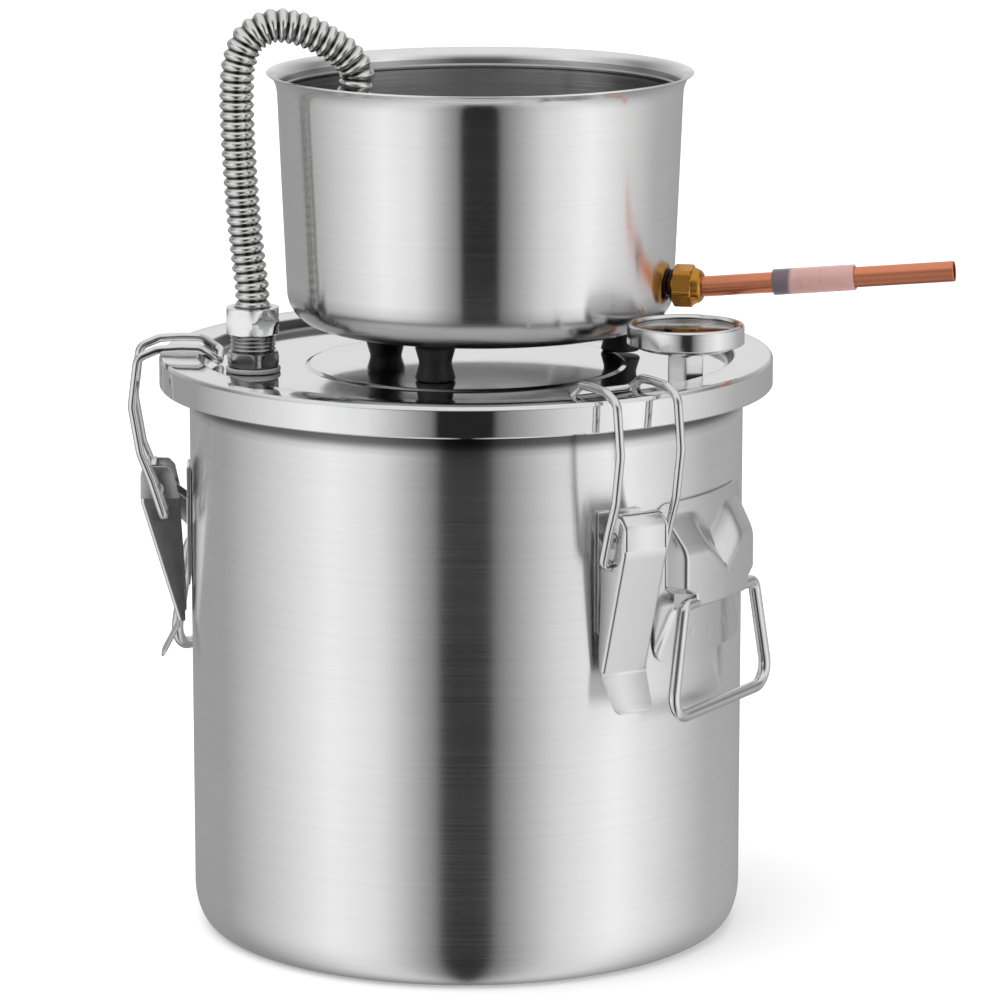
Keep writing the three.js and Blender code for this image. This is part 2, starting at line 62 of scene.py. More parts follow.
def world_light():
    w = bpy.data.worlds.new("studio")
    bpy.context.scene.world = w
    w.use_nodes = True
    nt = w.node_tree
    nt.nodes.clear()
    N, L = nt.nodes.new, nt.links.new
    tc = N("ShaderNodeTexCoord")
    mp = N("ShaderNodeMapping"); mp.vector_type = "POINT"
    mp.inputs["Rotation"].default_value = (0, 0, rad(62.0))
    L(tc.outputs["Generated"], mp.inputs["Vector"])
    sp = N("ShaderNodeSeparateXYZ"); L(mp.outputs["Vector"], sp.inputs[0])
    at = N("ShaderNodeMath"); at.operation = "ARCTAN2"
    L(sp.outputs["Y"], at.inputs[0]); L(sp.outputs["X"], at.inputs[1])
    dv = N("ShaderNodeMapRange")
    dv.inputs["From Min"].default_value = -math.pi; dv.inputs["From Max"].default_value = math.pi
    L(at.outputs[0], dv.inputs["Value"])

    def ramp(stops, src):
        r = N("ShaderNodeValToRGB")
        e = r.color_ramp.elements
        while len(e) > 1:
            e.remove(e[-1])
        e[0].position = (stops[0][0] + 180) / 360; e[0].color = (stops[0][1],) * 3 + (1,)
        for p, v in stops[1:]:
            k = e.new((p + 180) / 360); k.color = (v, v, v, 1)
        L(src, r.inputs[0])
        return r
    # two broad softboxes, one each side, fall off to a grey room; a narrow black flag stands on the camera axis
    side = [(-180, 0.32), (-120, 0.36), (-58, 0.98), (-36, 0.84), (-12, 0.22), (-10, 0.02), (10, 0.02), (12, 0.18), (38, 0.74), (66, 1.0), (120, 0.46), (180, 0.32)]
    low = ramp(side, dv.outputs[0])
    high = ramp([(-180, 0.80), (-110, 0.22), (-55, 0.85), (-14, 0.10), (14, 0.10), (60, 0.95), (115, 0.22), (180, 0.80)], dv.outputs[0])
    # elevation blend
    el = N("ShaderNodeMapRange"); el.inputs["From Min"].default_value = -0.02; el.inputs["From Max"].default_value = 0.16
    L(sp.outputs["Z"], el.inputs["Value"])
    mx = N("ShaderNodeMix"); mx.data_type = "RGBA"
    L(el.outputs[0], mx.inputs["Factor"]); L(low.outputs[0], mx.inputs["A"]); L(high.outputs[0], mx.inputs["B"])
    # darker straight below, so undersides and folded edges read
    dn = N("ShaderNodeMapRange"); dn.inputs["From Min"].default_value = -0.62; dn.inputs["From Max"].default_value = -0.30
    dn.inputs["To Min"].default_value = 0.80; dn.inputs["To Max"].default_value = 1.0
    L(sp.outputs["Z"], dn.inputs["Value"])
    dk = N("ShaderNodeVectorMath"); dk.operation = "SCALE"
    L(mx.outputs["Result"], dk.inputs[0]); L(dn.outputs[0], dk.inputs["Scale"])
    # overhead: soft ceiling
    up = N("ShaderNodeMapRange"); up.inputs["From Min"].default_value = 0.50; up.inputs["From Max"].default_value = 0.75
    L(sp.outputs["Z"], up.inputs["Value"])
    m2 = N("ShaderNodeMix"); m2.data_type = "RGBA"; m2.inputs["B"].default_value = (0.80, 0.80, 0.80, 1)
    L(up.outputs[0], m2.inputs["Factor"]); L(dk.outputs["Vector"], m2.inputs["A"])
    lp = N("ShaderNodeLightPath")
    m3 = N("ShaderNodeMix"); m3.data_type = "RGBA"; m3.inputs["B"].default_value = (1, 1, 1, 1)
    L(lp.outputs["Is Camera Ray"], m3.inputs["Factor"]); L(m2.outputs["Result"], m3.inputs["A"])
    bg = N("ShaderNodeBackground"); L(m3.outputs["Result"], bg.inputs["Color"]); bg.inputs["Strength"].default_value = 1.0
    out = N("ShaderNodeOutputWorld"); L(bg.outputs[0], out.inputs[0])


world_light()
sun = bpy.data.lights.new("top_light", "SUN")
sun.energy = 1.6; sun.angle = rad(60)
sun_o = link(bpy.data.objects.new("top_light", sun))
sun_o.rotation_euler = (rad(12), rad(-8), 0)
sun_o.visible_glossy = False

# ------------------------------------------------------------------ materials
def nodes_of(name):
    m = bpy.data.materials.new(name)
    m.use_nodes = True
    nt = m.node_tree
    return m, nt, nt.nodes["Principled BSDF"], nt.nodes.new, nt.links.new


def obj_coords(N, L, scale):
    tc = N("ShaderNodeTexCoord")
    mp = N("ShaderNodeMapping"); mp.inputs["Scale"].default_value = scale
    L(tc.outputs["Object"], mp.inputs["Vector"])
    return mp.outputs["Vector"]


def nz(N, L, vec, scale=1.0, detail=4.0, rough=0.6):
    n = N("ShaderNodeTexNoise")
    n.inputs["Scale"].default_value = scale; n.inputs["Detail"].default_value = detail; n.inputs["Roughness"].default_value = rough
    L(vec, n.inputs["Vector"])
    return n.outputs["Fac"]


def mr(N, L, src, a, b, lo=0.3, hi=0.7):
    r = N("ShaderNodeMapRange")
    r.inputs["From Min"].default_value = lo; r.inputs["From Max"].default_value = hi
    r.inputs["To Min"].default_value = a; r.inputs["To Max"].default_value = b
    L(src, r.inputs["Value"])
    return r.outputs[0]


def grey_mul(N, L, base, fac_out):
    mx = N("ShaderNodeMix"); mx.data_type = "RGBA"; mx.blend_type = "MULTIPLY"
    mx.inputs["Factor"].default_value = 1.0
    mx.inputs["A"].default_value = (*base, 1)
    cmb = N("ShaderNodeCombineColor")
    for i in range(3):
        L(fac_out, cmb.inputs[i])
    L(cmb.outputs[0], mx.inputs["B"])
    return mx.outputs["Result"]


def bump(N, L, height, strength, dist):
    b = N("ShaderNodeBump")
    b.inputs["Strength"].default_value = strength; b.inputs["Distance"].default_value = dist
    L(height, b.inputs["Height"])
    return b.outputs["Normal"]


def steel(name, base, rough, line_scale=(9, 9, 1500), line=0.05, aniso=0.0, aniso_rot=0.25, bump_s=0.04, smear=0.06, rvar=0.03, dist=0.00004):
    """Brushed or polished steel: directional grain in colour, roughness and bump, with slow cloudy variation."""
    m, nt, B, N, L = nodes_of(name)
    B.inputs["Metallic"].default_value = 1.0
    fine = nz(N, L, obj_coords(N, L, line_scale), 1.0, 3.0, 0.65)
    cloud = nz(N, L, obj_coords(N, L, (14, 14, 14)), 1.0, 3.0, 0.55)
    streak = nz(N, L, obj_coords(N, L, tuple(v * 0.22 for v in line_scale)), 1.0, 2.0, 0.5)
    a = N("ShaderNodeMath"); a.operation = "ADD"
    L(mr(N, L, fine, 1 - line, 1 + line * 0.4), a.inputs[0]); L(mr(N, L, streak, -line * 0.6, line * 0.3), a.inputs[1])
    mul = N("ShaderNodeMath"); mul.operation = "MULTIPLY"
    L(a.outputs[0], mul.inputs[0]); L(mr(N, L, cloud, 1 - smear, 1.0), mul.inputs[1])
    L(grey_mul(N, L, base, mul.outputs[0]), B.inputs["Base Color"])
    r = N("ShaderNodeMath"); r.operation = "ADD"
    L(mr(N, L, fine, rough - rvar * 0.5, rough + rvar), r.inputs[0]); L(mr(N, L, cloud, -rvar * 0.5, rvar * 0.5), r.inputs[1])
    L(r.outputs[0], B.inputs["Roughness"])
    if aniso:
        t = N("ShaderNodeTangent"); t.direction_type = "RADIAL"; t.axis = "Z"
        L(t.outputs[0], B.inputs["Tangent"])
        B.inputs["Anisotropic"].default_value = aniso
        B.inputs["Anisotropic Rotation"].default_value = aniso_rot
    if bump_s:
        L(bump(N, L, fine, bump_s, dist), B.inputs["Normal"])
    return m


def plastic(name, base, rough, spec=0.5, noise_scale=900, bump_s=0.08, var=0.06, sss=0.0, trans=0.0, alpha=1.0):
    m, nt, B, N, L = nodes_of(name)
    f = nz(N, L, obj_coords(N, L, (noise_scale,) * 3), 1.0, 4.0, 0.6)
    c = nz(N, L, obj_coords(N, L, (60, 60, 60)), 1.0, 3.0, 0.5)
    L(grey_mul(N, L, base, mr(N, L, c, 1 - var, 1 + var * 0.3)), B.inputs["Base Color"])
    L(mr(N, L, f, rough - 0.05, rough + 0.06), B.inputs["Roughness"])
    L(bump(N, L, f, bump_s, 0.00005), B.inputs["Normal"])
    B.inputs["Specular IOR Level"].default_value = spec
    if sss:
        B.inputs["Subsurface Weight"].default_value = sss
        B.inputs["Subsurface Radius"].default_value = (0.004, 0.003, 0.003)
        B.inputs["Subsurface Scale"].default_value = 1.0
    if trans:
        B.inputs["Transmission Weight"].default_value = trans
        B.inputs["IOR"].default_value = 1.4
    if alpha < 1:
        B.inputs["Alpha"].default_value = alpha
    return m


MAT = {
    "pot": steel("boiler_brushed_steel", (0.97, 0.97, 0.97), 0.235, (7, 7, 1700), 0.035, 0.95, 0.25, 0.03),
    "cond": steel("condenser_brushed_steel", (0.93, 0.93, 0.93), 0.17, (7, 7, 1700), 0.03, 0.92, 0.25, 0.02),
    # darker copy of the condenser steel for the inside wall: painted shade inside the water bath
    "bath": steel("condenser_bath_steel_painted_shade", (0.52, 0.52, 0.525), 0.20, (7, 7, 900), 0.05, 0.9, 0.25, 0.02, 0.25, 0.06),
    "lid": steel("lid_polished_steel", (0.88, 0.88, 0.885), 0.06, (300, 300, 300), 0.02, 0.3, 0.0, 0.0, 0.03, 0.015),
    "clamp": steel("clamp_stamped_steel", (0.88, 0.88, 0.88), 0.25, (260, 260, 120), 0.02, 0, 0, 0.012, 0.03, 0.02),
    "bracket": steel("bracket_satin_steel", (0.83, 0.83, 0.83), 0.21, (260, 260, 260), 0.02, 0, 0, 0.015, 0.03, 0.02),
    "wire": steel("wire_polished_steel", (0.86, 0.86, 0.86), 0.12, (500, 500, 500), 0.04, 0, 0, 0.02, 0.06, 0.04),
    "fitting": steel("fitting_machined_steel", (0.80, 0.80, 0.80), 0.20, (60, 60, 2400), 0.08, 0, 0, 0.05, 0.06, 0.05),
    "nut": steel("nut_polished_steel", (0.88, 0.88, 0.885), 0.10, (200, 200, 900), 0.04, 0, 0, 0.02, 0.05, 0.03),
    "hose": steel("hose_polished_steel", (0.88, 0.875, 0.865), 0.15, (900, 900, 900), 0.05, 0, 0, 0.02, 0.08, 0.05),
    "bezel": steel("bezel_turned_steel", (0.88, 0.88, 0.885), 0.16, (40, 40, 2600), 0.05, 0.5, 0.25, 0.03, 0.03, 0.03),
    "copper": steel("drawn_copper", (0.88, 0.32, 0.175), 0.30, (300, 300, 300), 0.04, 0, 0, 0.03, 0.05, 0.05),
    "brass": steel("machined_brass", (0.62, 0.285, 0.05), 0.16, (500, 500, 500), 0.04, 0, 0, 0.02, 0.06, 0.04),
    "riser": steel("riser_machined_steel", (0.46, 0.46, 0.465), 0.16, (60, 60, 2400), 0.08, 0, 0, 0.04, 0.05, 0.04),
    "rubber": plastic("foot_black_rubber", (0.012, 0.012, 0.012), 0.45, 0.45, 1400, 0.15),
    "silicone": plastic("washer_silicone", (0.48, 0.48, 0.47), 0.45, 0.4, 900, 0.06, 0.04, 0.4),
    "dial": plastic("dial_printed_face", (0.42, 0.42, 0.415), 0.5, 0.4, 600, 0.02, 0.03),
    "ink": plastic("dial_ink", (0.02, 0.02, 0.02), 0.5, 0.4, 600, 0.02, 0.03),
}


def glass():
    m, nt, B, N, L = nodes_of("lens_clear_glass")
    c = nz(N, L, obj_coords(N, L, (50, 50, 50)), 1.0, 2.0, 0.5)
    L(grey_mul(N, L, (0.97, 0.98, 0.98), mr(N, L, c, 0.98, 1.0)), B.inputs["Base Color"])
    L(mr(N, L, c, 0.05, 0.08), B.inputs["Roughness"])
    B.inputs["Transmission Weight"].default_value = 1.0
    B.inputs["IOR"].default_value = 1.30
    return m


MAT["glass"] = glass()


def shade_by(key, axis, stops, centre=None, attr=None):
    """Paints shade into a material: multiply a finished colour by a ramp over height, radius from an upright axis, or a
    stored vertex value.
    """
    nt = MAT[key].node_tree
    N, L = nt.nodes.new, nt.links.new
    B = nt.nodes["Principled BSDF"]
    src = B.inputs["Base Color"].links[0].from_socket
    if attr:
        at = N("ShaderNodeAttribute"); at.attribute_name = attr
        val = at.outputs["Fac"]
    else:
        tc = N("ShaderNodeTexCoord"); sp = N("ShaderNodeSeparateXYZ"); L(tc.outputs["Object"], sp.inputs[0])
        if axis == "Z":
            val = sp.outputs["Z"]
        else:
            d = []
            for c, o_ in zip(centre, ("X", "Y")):
                q = N("ShaderNodeMath"); q.operation = "SUBTRACT"; q.inputs[1].default_value = c
                L(sp.outputs[o_], q.inputs[0])
                w = N("ShaderNodeMath"); w.operation = "MULTIPLY"; L(q.outputs[0], w.inputs[0]); L(q.outputs[0], w.inputs[1])
                d.append(w)
            ad = N("ShaderNodeMath"); ad.operation = "ADD"; L(d[0].outputs[0], ad.inputs[0]); L(d[1].outputs[0], ad.inputs[1])
            sq = N("ShaderNodeMath"); sq.operation = "SQRT"; L(ad.outputs[0], sq.inputs[0])
            val = sq.outputs[0]
    lo, hi = stops[0][0], stops[-1][0]
    m_ = N("ShaderNodeMapRange"); m_.inputs["From Min"].default_value = lo; m_.inputs["From Max"].default_value = hi
    L(val, m_.inputs["Value"])
    r = N("ShaderNodeValToRGB"); e = r.color_ramp.elements
    e[0].position = 0.0; e[0].color = (stops[0][1],) * 3 + (1,)
    e[1].position = 1.0; e[1].color = (stops[-1][1],) * 3 + (1,)
    for p_, v_ in stops[1:-1]:
        k = e.new((p_ - lo) / (hi - lo)); k.color = (v_, v_, v_, 1)
    L(m_.outputs[0], r.inputs[0])
    mx = N("ShaderNodeMix"); mx.data_type = "RGBA"; mx.blend_type = "MULTIPLY"; mx.inputs["Factor"].default_value = 1.0
    L(src, mx.inputs["A"]); L(r.outputs[0], mx.inputs["B"])
    L(mx.outputs["Result"], B.inputs["Base Color"])


# painted shade and reflection: the wall's colour is darkened in the strip under the lid's skirt, standing in for the
# skirt's shadow and its dark reflection
shade_by("pot", "Z", [(0.2375, 1.0), (0.2400, 0.80), (0.2420, 0.36), (0.2432, 0.20), (0.2465, 0.14)])
# painted shade: the water-bath side of the condenser has a darker steel copy than its outside, and the base corner's
# colour is darkened towards the lid, both standing in for shade
shade_by("cond", "Z", [(0.2740, 0.50), (0.2800, 0.50), (0.2860, 0.70), (0.2930, 1.0)])
# painted shade and reflection: a dark ring in the colour at the pressed corner round the lid's recess, standing in for
# the dark crease
shade_by("lid", "R", [(0.1160, 1.0), (0.1178, 0.45), (0.1190, 0.16), (0.1204, 0.16), (0.1212, 1.0)], centre=(0.0, 0.0))
# painted shade: the hose's colour is darkened towards the bottom of each corrugation valley, read from the stored
# groove value
shade_by("hose", None, [(0.0, 0.16), (0.30, 0.42), (0.62, 0.92), (1.0, 1.0)], attr="groove")


def sleeve():
    """Soft semi-clear sleeve: painted shade makes it dark grey over the empty gap, standing in for the shade in the
    hollow; pinker where the copper fills it.
    """
    m, nt, B, N, L = nodes_of("sleeve_soft_translucent")
    tc = N("ShaderNodeTexCoord"); sp = N("ShaderNodeSeparateXYZ"); L(tc.outputs["Object"], sp.inputs[0])
    st = N("ShaderNodeMapRange"); st.inputs["From Min"].default_value = 0.1420; st.inputs["From Max"].default_value = 0.1438
    L(sp.outputs["X"], st.inputs["Value"])
    mx = N("ShaderNodeMix"); mx.data_type = "RGBA"
    # A is painted shade of the empty hollow inside the sleeve; B is the pink where the copper fills it
    mx.inputs["A"].default_value = (0.20, 0.155, 0.19, 1); mx.inputs["B"].default_value = (0.74, 0.44, 0.41, 1)
    L(st.outputs[0], mx.inputs["Factor"])
    c = nz(N, L, obj_coords(N, L, (220, 220, 220)), 1.0, 3.0, 0.5)
    mul = N("ShaderNodeMix"); mul.data_type = "RGBA"; mul.blend_type = "MULTIPLY"; mul.inputs["Factor"].default_value = 1.0
    cm = N("ShaderNodeCombineColor")
    v = mr(N, L, c, 0.93, 1.0)
    for i in range(3):
        L(v, cm.inputs[i])
    L(mx.outputs["Result"], mul.inputs["A"]); L(cm.outputs[0], mul.inputs["B"])
    L(mul.outputs["Result"], B.inputs["Base Color"])
    L(mr(N, L, c, 0.26, 0.34), B.inputs["Roughness"])
    B.inputs["Alpha"].default_value = 0.78
    return m


MAT["sleeve"] = sleeve()


def floor_mat():
    m, nt, B, N, L = nodes_of("pale_floor")
    c = nz(N, L, obj_coords(N, L, (3, 3, 3)), 1.0, 3.0, 0.5)
    L(grey_mul(N, L, (0.93, 0.93, 0.93), mr(N, L, c, 0.995, 1.0)), B.inputs["Base Color"])
    B.inputs["Roughness"].default_value = 0.9
    B.inputs["Emission Color"].default_value = (1, 1, 1, 1)
    B.inputs["Emission Strength"].default_value = 0.22
    return m


def mesh_obj(name, verts, faces, smooth=True, mat=None, angle=32, scale=S):
    me = bpy.data.meshes.new(name)
    me.from_pydata([tuple(c * scale for c in v) for v in verts], [], faces)
    me.validate()
    bm = bmesh.new(); bm.from_mesh(me)
    bmesh.ops.remove_doubles(bm, verts=bm.verts, dist=1e-7)
    bmesh.ops.recalc_face_normals(bm, faces=bm.faces)
    bm.to_mesh(me); bm.free()
    o = link(bpy.data.objects.new(name, me))
    if smooth:
        me.shade_smooth()
        me.set_sharp_from_angle(angle=rad(angle))
    if mat:
        me.materials.append(MAT[mat])
    return o


floor = mesh_obj("floor", [(-9000, -9000, 0), (9000, -9000, 0), (9000, 9000, 0), (-9000, 9000, 0)], [(0, 1, 2, 3)], False)
floor.data.materials.append(floor_mat())
floor.location.z = -0.0002
floor.visible_glossy = False

# ------------------------------------------------------------------ mesh builders (mm)
def xform(verts, M):
    return [tuple(M @ Vector(v)) for v in verts]


def fillet(profile, radii, n=5):
    """Rounds the corners of an open [r, z] polyline. radii: dict index -> radius."""
    out = []
    P = [Vector((a, b)) for a, b in profile]
    for i, p in enumerate(P):
        r = radii.get(i, 0) if isinstance(radii, dict) else (radii if 0 < i < len(P) - 1 else 0)
        if not r or i == 0 or i == len(P) - 1:
            out.append((p.x, p.y)); continue
        a, b = (P[i - 1] - p), (P[i + 1] - p)
        la, lb = a.length, b.length
        a.normalize(); b.normalize()
        ang = math.acos(max(-1, min(1, a.dot(b))))
        if abs(math.pi - ang) < 0.02:
            out.append((p.x, p.y)); continue
        t = min(r / math.tan(ang / 2), la * 0.49, lb * 0.49)
        rr = t * math.tan(ang / 2)
        bis = (a + b).normalized()
        c = p + bis * (rr / math.sin(ang / 2))
        s0, s1 = p + a * t - c, p + b * t - c
        a0, a1 = math.atan2(s0.y, s0.x), math.atan2(s1.y, s1.x)
        d = (a1 - a0 + math.pi) % (2 * math.pi) - math.pi
        for k in range(n + 1):
            q = a0 + d * k / n
            out.append((c.x + rr * math.cos(q), c.y + rr * math.sin(q)))
    return out


def lathe_data(profile, seg=128, closed=False):
    verts, faces, rings = [], [], []
    for r, z in profile:
        if abs(r) < 1e-9:
            rings.append([len(verts)]); verts.append((0, 0, z))
        else:
            rings.append(list(range(len(verts), len(verts) + seg)))
            for k in range(seg):
                a = 2 * math.pi * k / seg
                verts.append((r * math.cos(a), r * math.sin(a), z))
    pairs = list(zip(rings[:-1], rings[1:])) + ([(rings[-1], rings[0])] if closed else [])
    for A, B in pairs:
        for k in range(seg):
            k2 = (k + 1) % seg
            if len(A) == 1 and len(B) == 1:
                continue
            if len(A) == 1:
                faces.append((A[0], B[k2], B[k]))
            elif len(B) == 1:
                faces.append((A[k], A[k2], B[0]))
            else:
                faces.append((A[k], A[k2], B[k2], B[k]))
    return verts, faces


def lathe(name, profile, seg=128, closed=False, M=None, mat=None, angle=32):
    v, f = lathe_data(profile, seg, closed)
    if M is not None:
        v = xform(v, M)
    return mesh_obj(name, v, f, True, mat, angle)


def merge_data(*parts):
    V, F = [], []
    for v, f in parts:
        k = len(V); V += v; F += [tuple(i + k for i in q) for q in f]
    return V, F


def rounded_path(points, radii, step=1.0, arc_n=10):
    """Polyline with circular corners, resampled."""
    P = [Vector(p) for p in points]
    out = [P[0]]
    for i in range(1, len(P) - 1):
        r = radii[i - 1] if isinstance(radii, (list, tuple)) else radii
        a, b = P[i - 1] - P[i], P[i + 1] - P[i]
        la, lb = a.length, b.length
        a.normalize(); b.normalize()
        ang = math.acos(max(-1, min(1, a.dot(b))))
        if math.pi - ang < 0.01:
            out.append(P[i]); continue
        t = min(r / math.tan(ang / 2), la * 0.49, lb * 0.49)
        rr = t * math.tan(ang / 2)
        c = P[i] + (a + b).normalized() * (rr / math.sin(ang / 2))
        q0, q1 = P[i] + a * t - c, P[i] + b * t - c
        tot = math.pi - ang
        ax = q0.cross(q1).normalized()
        for k in range(arc_n + 1):
            out.append(c + Matrix.Rotation(tot * k / arc_n, 3, ax) @ q0)
    out.append(P[-1])
    return resample(out, step)


def resample(pts, step):
    P = [Vector(p) for p in pts]
    d = [0]
    for a, b in zip(P[:-1], P[1:]):
        d.append(d[-1] + (b - a).length)
    n = max(2, int(round(d[-1] / step)))
    out, j = [], 0
    for k in range(n + 1):
        s = d[-1] * k / n
        while j < len(d) - 2 and d[j + 1] < s:
            j += 1
        seg = d[j + 1] - d[j]
        t = 0 if seg < 1e-12 else (s - d[j]) / seg
        out.append(P[j].lerp(P[j + 1], max(0, min(1, t))))
    return out


def catmull(pts, per=12):
    P = [Vector(p) for p in pts]
    P = [P[0] * 2 - P[1]] + P + [P[-1] * 2 - P[-2]]
    out = []
    for i in range(1, len(P) - 2):
        p0, p1, p2, p3 = P[i - 1:i + 3]
        t0 = 0; t1 = t0 + (p1 - p0).length ** 0.5; t2 = t1 + (p2 - p1).length ** 0.5; t3 = t2 + (p3 - p2).length ** 0.5
        for k in range(per):
            t = t1 + (t2 - t1) * k / per
            A1 = p0 * ((t1 - t) / (t1 - t0)) + p1 * ((t - t0) / (t1 - t0))
            A2 = p1 * ((t2 - t) / (t2 - t1)) + p2 * ((t - t1) / (t2 - t1))
            A3 = p2 * ((t3 - t) / (t3 - t2)) + p3 * ((t - t2) / (t3 - t2))
            B1 = A1 * ((t2 - t) / (t2 - t0)) + A2 * ((t - t0) / (t2 - t0))
            B2 = A2 * ((t3 - t) / (t3 - t1)) + A3 * ((t - t1) / (t3 - t1))
            out.append(B1 * ((t2 - t) / (t2 - t1)) + B2 * ((t - t1) / (t2 - t1)))
    out.append(P[-2])
    return out


def sweep_data(pts, radius, sides=20, cap="round", ends=(1.0, 1.0)):
    """Round section along points. radius: number or function of arc length. Round or flat ends."""
    P = [Vector(p) for p in pts]
    n = len(P)
    T = []
    for i in range(n):
        a = P[max(0, i - 1)]; b = P[min(n - 1, i + 1)]
        T.append((b - a).normalized())
    up = Vector((0, 0, 1)) if abs(T[0].z) < 0.9 else Vector((1, 0, 0))
    nrm = (up - T[0] * up.dot(T[0])).normalized()
    verts, faces, d = [], [], 0.0
    rings = []
    for i in range(n):
        if i:
            d += (P[i] - P[i - 1]).length
            q = T[i - 1].rotation_difference(T[i])
            nrm = q @ nrm
            nrm = (nrm - T[i] * nrm.dot(T[i])).normalized()
        bi = T[i].cross(nrm)
        r = radius(d) if callable(radius) else radius
        rings.append((P[i], T[i], nrm.copy(), bi, r))
    total = d
    full = []
    if cap == "round":
        p, t, a, b, r = rings[0]
        for k in (0.0, 0.35, 0.7, 0.92):
            full.append((p - t * (r * 0.45 * (1 - k)), a, b, r * math.sqrt(max(0.02, 1 - (1 - k) ** 2))))
    for p, t, a, b, r in rings:
        full.append((p, a, b, r))
    if cap == "round":
        p, t, a, b, r = rings[-1]
        for k in (0.92, 0.7, 0.35, 0.0):
            full.append((p + t * (r * 0.45 * (1 - k)), a, b, r * math.sqrt(max(0.02, 1 - (1 - k) ** 2))))
    for p, a, b, r in full:
        for k in range(sides):
            w = 2 * math.pi * k / sides
            verts.append(tuple(p + a * (r * math.cos(w)) + b * (r * math.sin(w))))
    m = len(full)
    for i in range(m - 1):
        for k in range(sides):
            k2 = (k + 1) % sides
            faces.append((i * sides + k, i * sides + k2, (i + 1) * sides + k2, (i + 1) * sides + k))
    faces.append(tuple(reversed(range(sides))))
    faces.append(tuple((m - 1) * sides + k for k in range(sides)))
    return verts, faces


def pipe_data(pts, r_out, r_in, sides=28, lip=0.25):
    """Hollow round tube along points with softly broken ends."""
    P = [Vector(p) for p in pts]
    n = len(P)
    T = [(P[min(n - 1, i + 1)] - P[max(0, i - 1)]).normalized() for i in range(n)]
    up = Vector((0, 0, 1)) if abs(T[0].z) < 0.9 else Vector((1, 0, 0))
    nrm = (up - T[0] * up.dot(T[0])).normalized()
    fr = []
    for i in range(n):
        if i:
            nrm = T[i - 1].rotation_difference(T[i]) @ nrm
            nrm = (nrm - T[i] * nrm.dot(T[i])).normalized()
        fr.append((P[i], T[i], nrm.copy(), T[i].cross(nrm)))
    rings = []
    p, t, a, b = fr[0]
    rings += [(p + t * lip, a, b, r_out)] if n == 2 else []
    seq = []
    seq.append((fr[0], 0.0, r_out - lip)); seq.append((fr[0], lip, r_out))
    for f in fr[1:-1]:
        seq.append((f, 0.0, r_out))
    seq.append((fr[-1], -lip, r_out)); seq.append((fr[-1], 0.0, r_out - lip))
    seq.append((fr[-1], 0.0, r_in + lip)); seq.append((fr[-1], -lip, r_in))
    for f in reversed(fr[1:-1]):
        seq.append((f, 0.0, r_in))
    seq.append((fr[0], lip, r_in)); seq.append((fr[0], 0.0, r_in + lip))
    V, F = [], []
    for (p, t, a, b), off, r in seq:
        q = p + t * off
        for k in range(sides):
            w = 2 * math.pi * k / sides
            V.append(tuple(q + a * (r * math.cos(w)) + b * (r * math.sin(w))))
    m = len(seq)
    for i in range(m):
        j = (i + 1) % m
        for k in range(sides):
            k2 = (k + 1) % sides
            F.append((i * sides + k, i * sides + k2, j * sides + k2, j * sides + k))
    return V, F


def hex_data(af, z0, z1, bore, chamfer=0.9, seg=72, both=True, edge=0.35):
    """Hexagon with 30 degree chamfered corners, softened arrises and a round bore."""
    Rc = af / 2
    def outer(a, z):
        k = (a + math.pi / 6) % (math.pi / 3) - math.pi / 6
        r = Rc / math.cos(k)
        rmax = Rc / math.cos(math.pi / 6) - edge
        r = min(r, rmax)
        # chamfer cone
        d1 = (z1 - z); d0 = (z - z0)
        rc = Rc * 0.985
        r = min(r, rc + d1 * 1.7)
        if both:
            r = min(r, rc + d0 * 1.7)
        return r
    zs = [z0, z0 + chamfer * 0.35, z0 + chamfer * 0.7, z0 + chamfer, z0 + chamfer * 1.6] + [z0 + (z1 - z0) * t for t in (0.35, 0.5, 0.65)] + [z1 - chamfer * 1.6, z1 - chamfer, z1 - chamfer * 0.7, z1 - chamfer * 0.35, z1]
    rings = [(z, None) for z in zs]
    V, F = [], []
    angs = [2 * math.pi * k / seg for k in range(seg)]
    for z in zs:
        for a in angs:
            r = outer(a, z)
            V.append((r * math.cos(a), r * math.sin(a), z))
    for z in (z1, z0):
        for dz, rr in ((0, bore + 0.5), (-0.5 if z == z1 else 0.5, bore)):
            pass
    inner = [(bore + 0.5, z1), (bore, z1 - 0.5), (bore, z0 + 0.5), (bore + 0.5, z0)]
    for r, z in inner:
        for a in angs:
            V.append((r * math.cos(a), r * math.sin(a), z))
    m = len(zs) + len(inner)
    for i in range(m):
        j = (i + 1) % m
        for k in range(seg):
            k2 = (k + 1) % seg
            F.append((i * seg + k, i * seg + k2, j * seg + k2, j * seg + k))
    return V, F


def thread_profile(r, z0, z1, pitch, depth=0.75):
    out = []
    n = int((z1 - z0) / pitch)
    z = z0
    for i in range(n):
        out += [(r - depth, z + 0.02), (r - depth * 0.15, z + pitch * 0.36), (r, z + pitch * 0.46), (r, z + pitch * 0.56), (r - depth * 0.15, z + pitch * 0.66)]
        z += pitch
    out.append((r - depth, min(z, z1)))
    return out


def put(o, body, nodes):
    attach(o, body)
    nodes = [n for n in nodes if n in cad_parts]
    if nodes:
        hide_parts(*nodes)
    return o


def bevel(o, w=0.4, seg=3, angle=30):
    b = o.modifiers.new("edges", "BEVEL")
    b.width = w * S; b.segments = seg; b.limit_method = "ANGLE"; b.angle_limit = rad(angle); b.harden_normals = False
    apply_mods(o)
    return o


def apply_mods(o):
    dg = bpy.context.evaluated_depsgraph_get()
    me = bpy.data.meshes.new_from_object(o.evaluated_get(dg))
    old = o.data
    o.modifiers.clear()
    o.data = me
    me.name = old.name
    return o


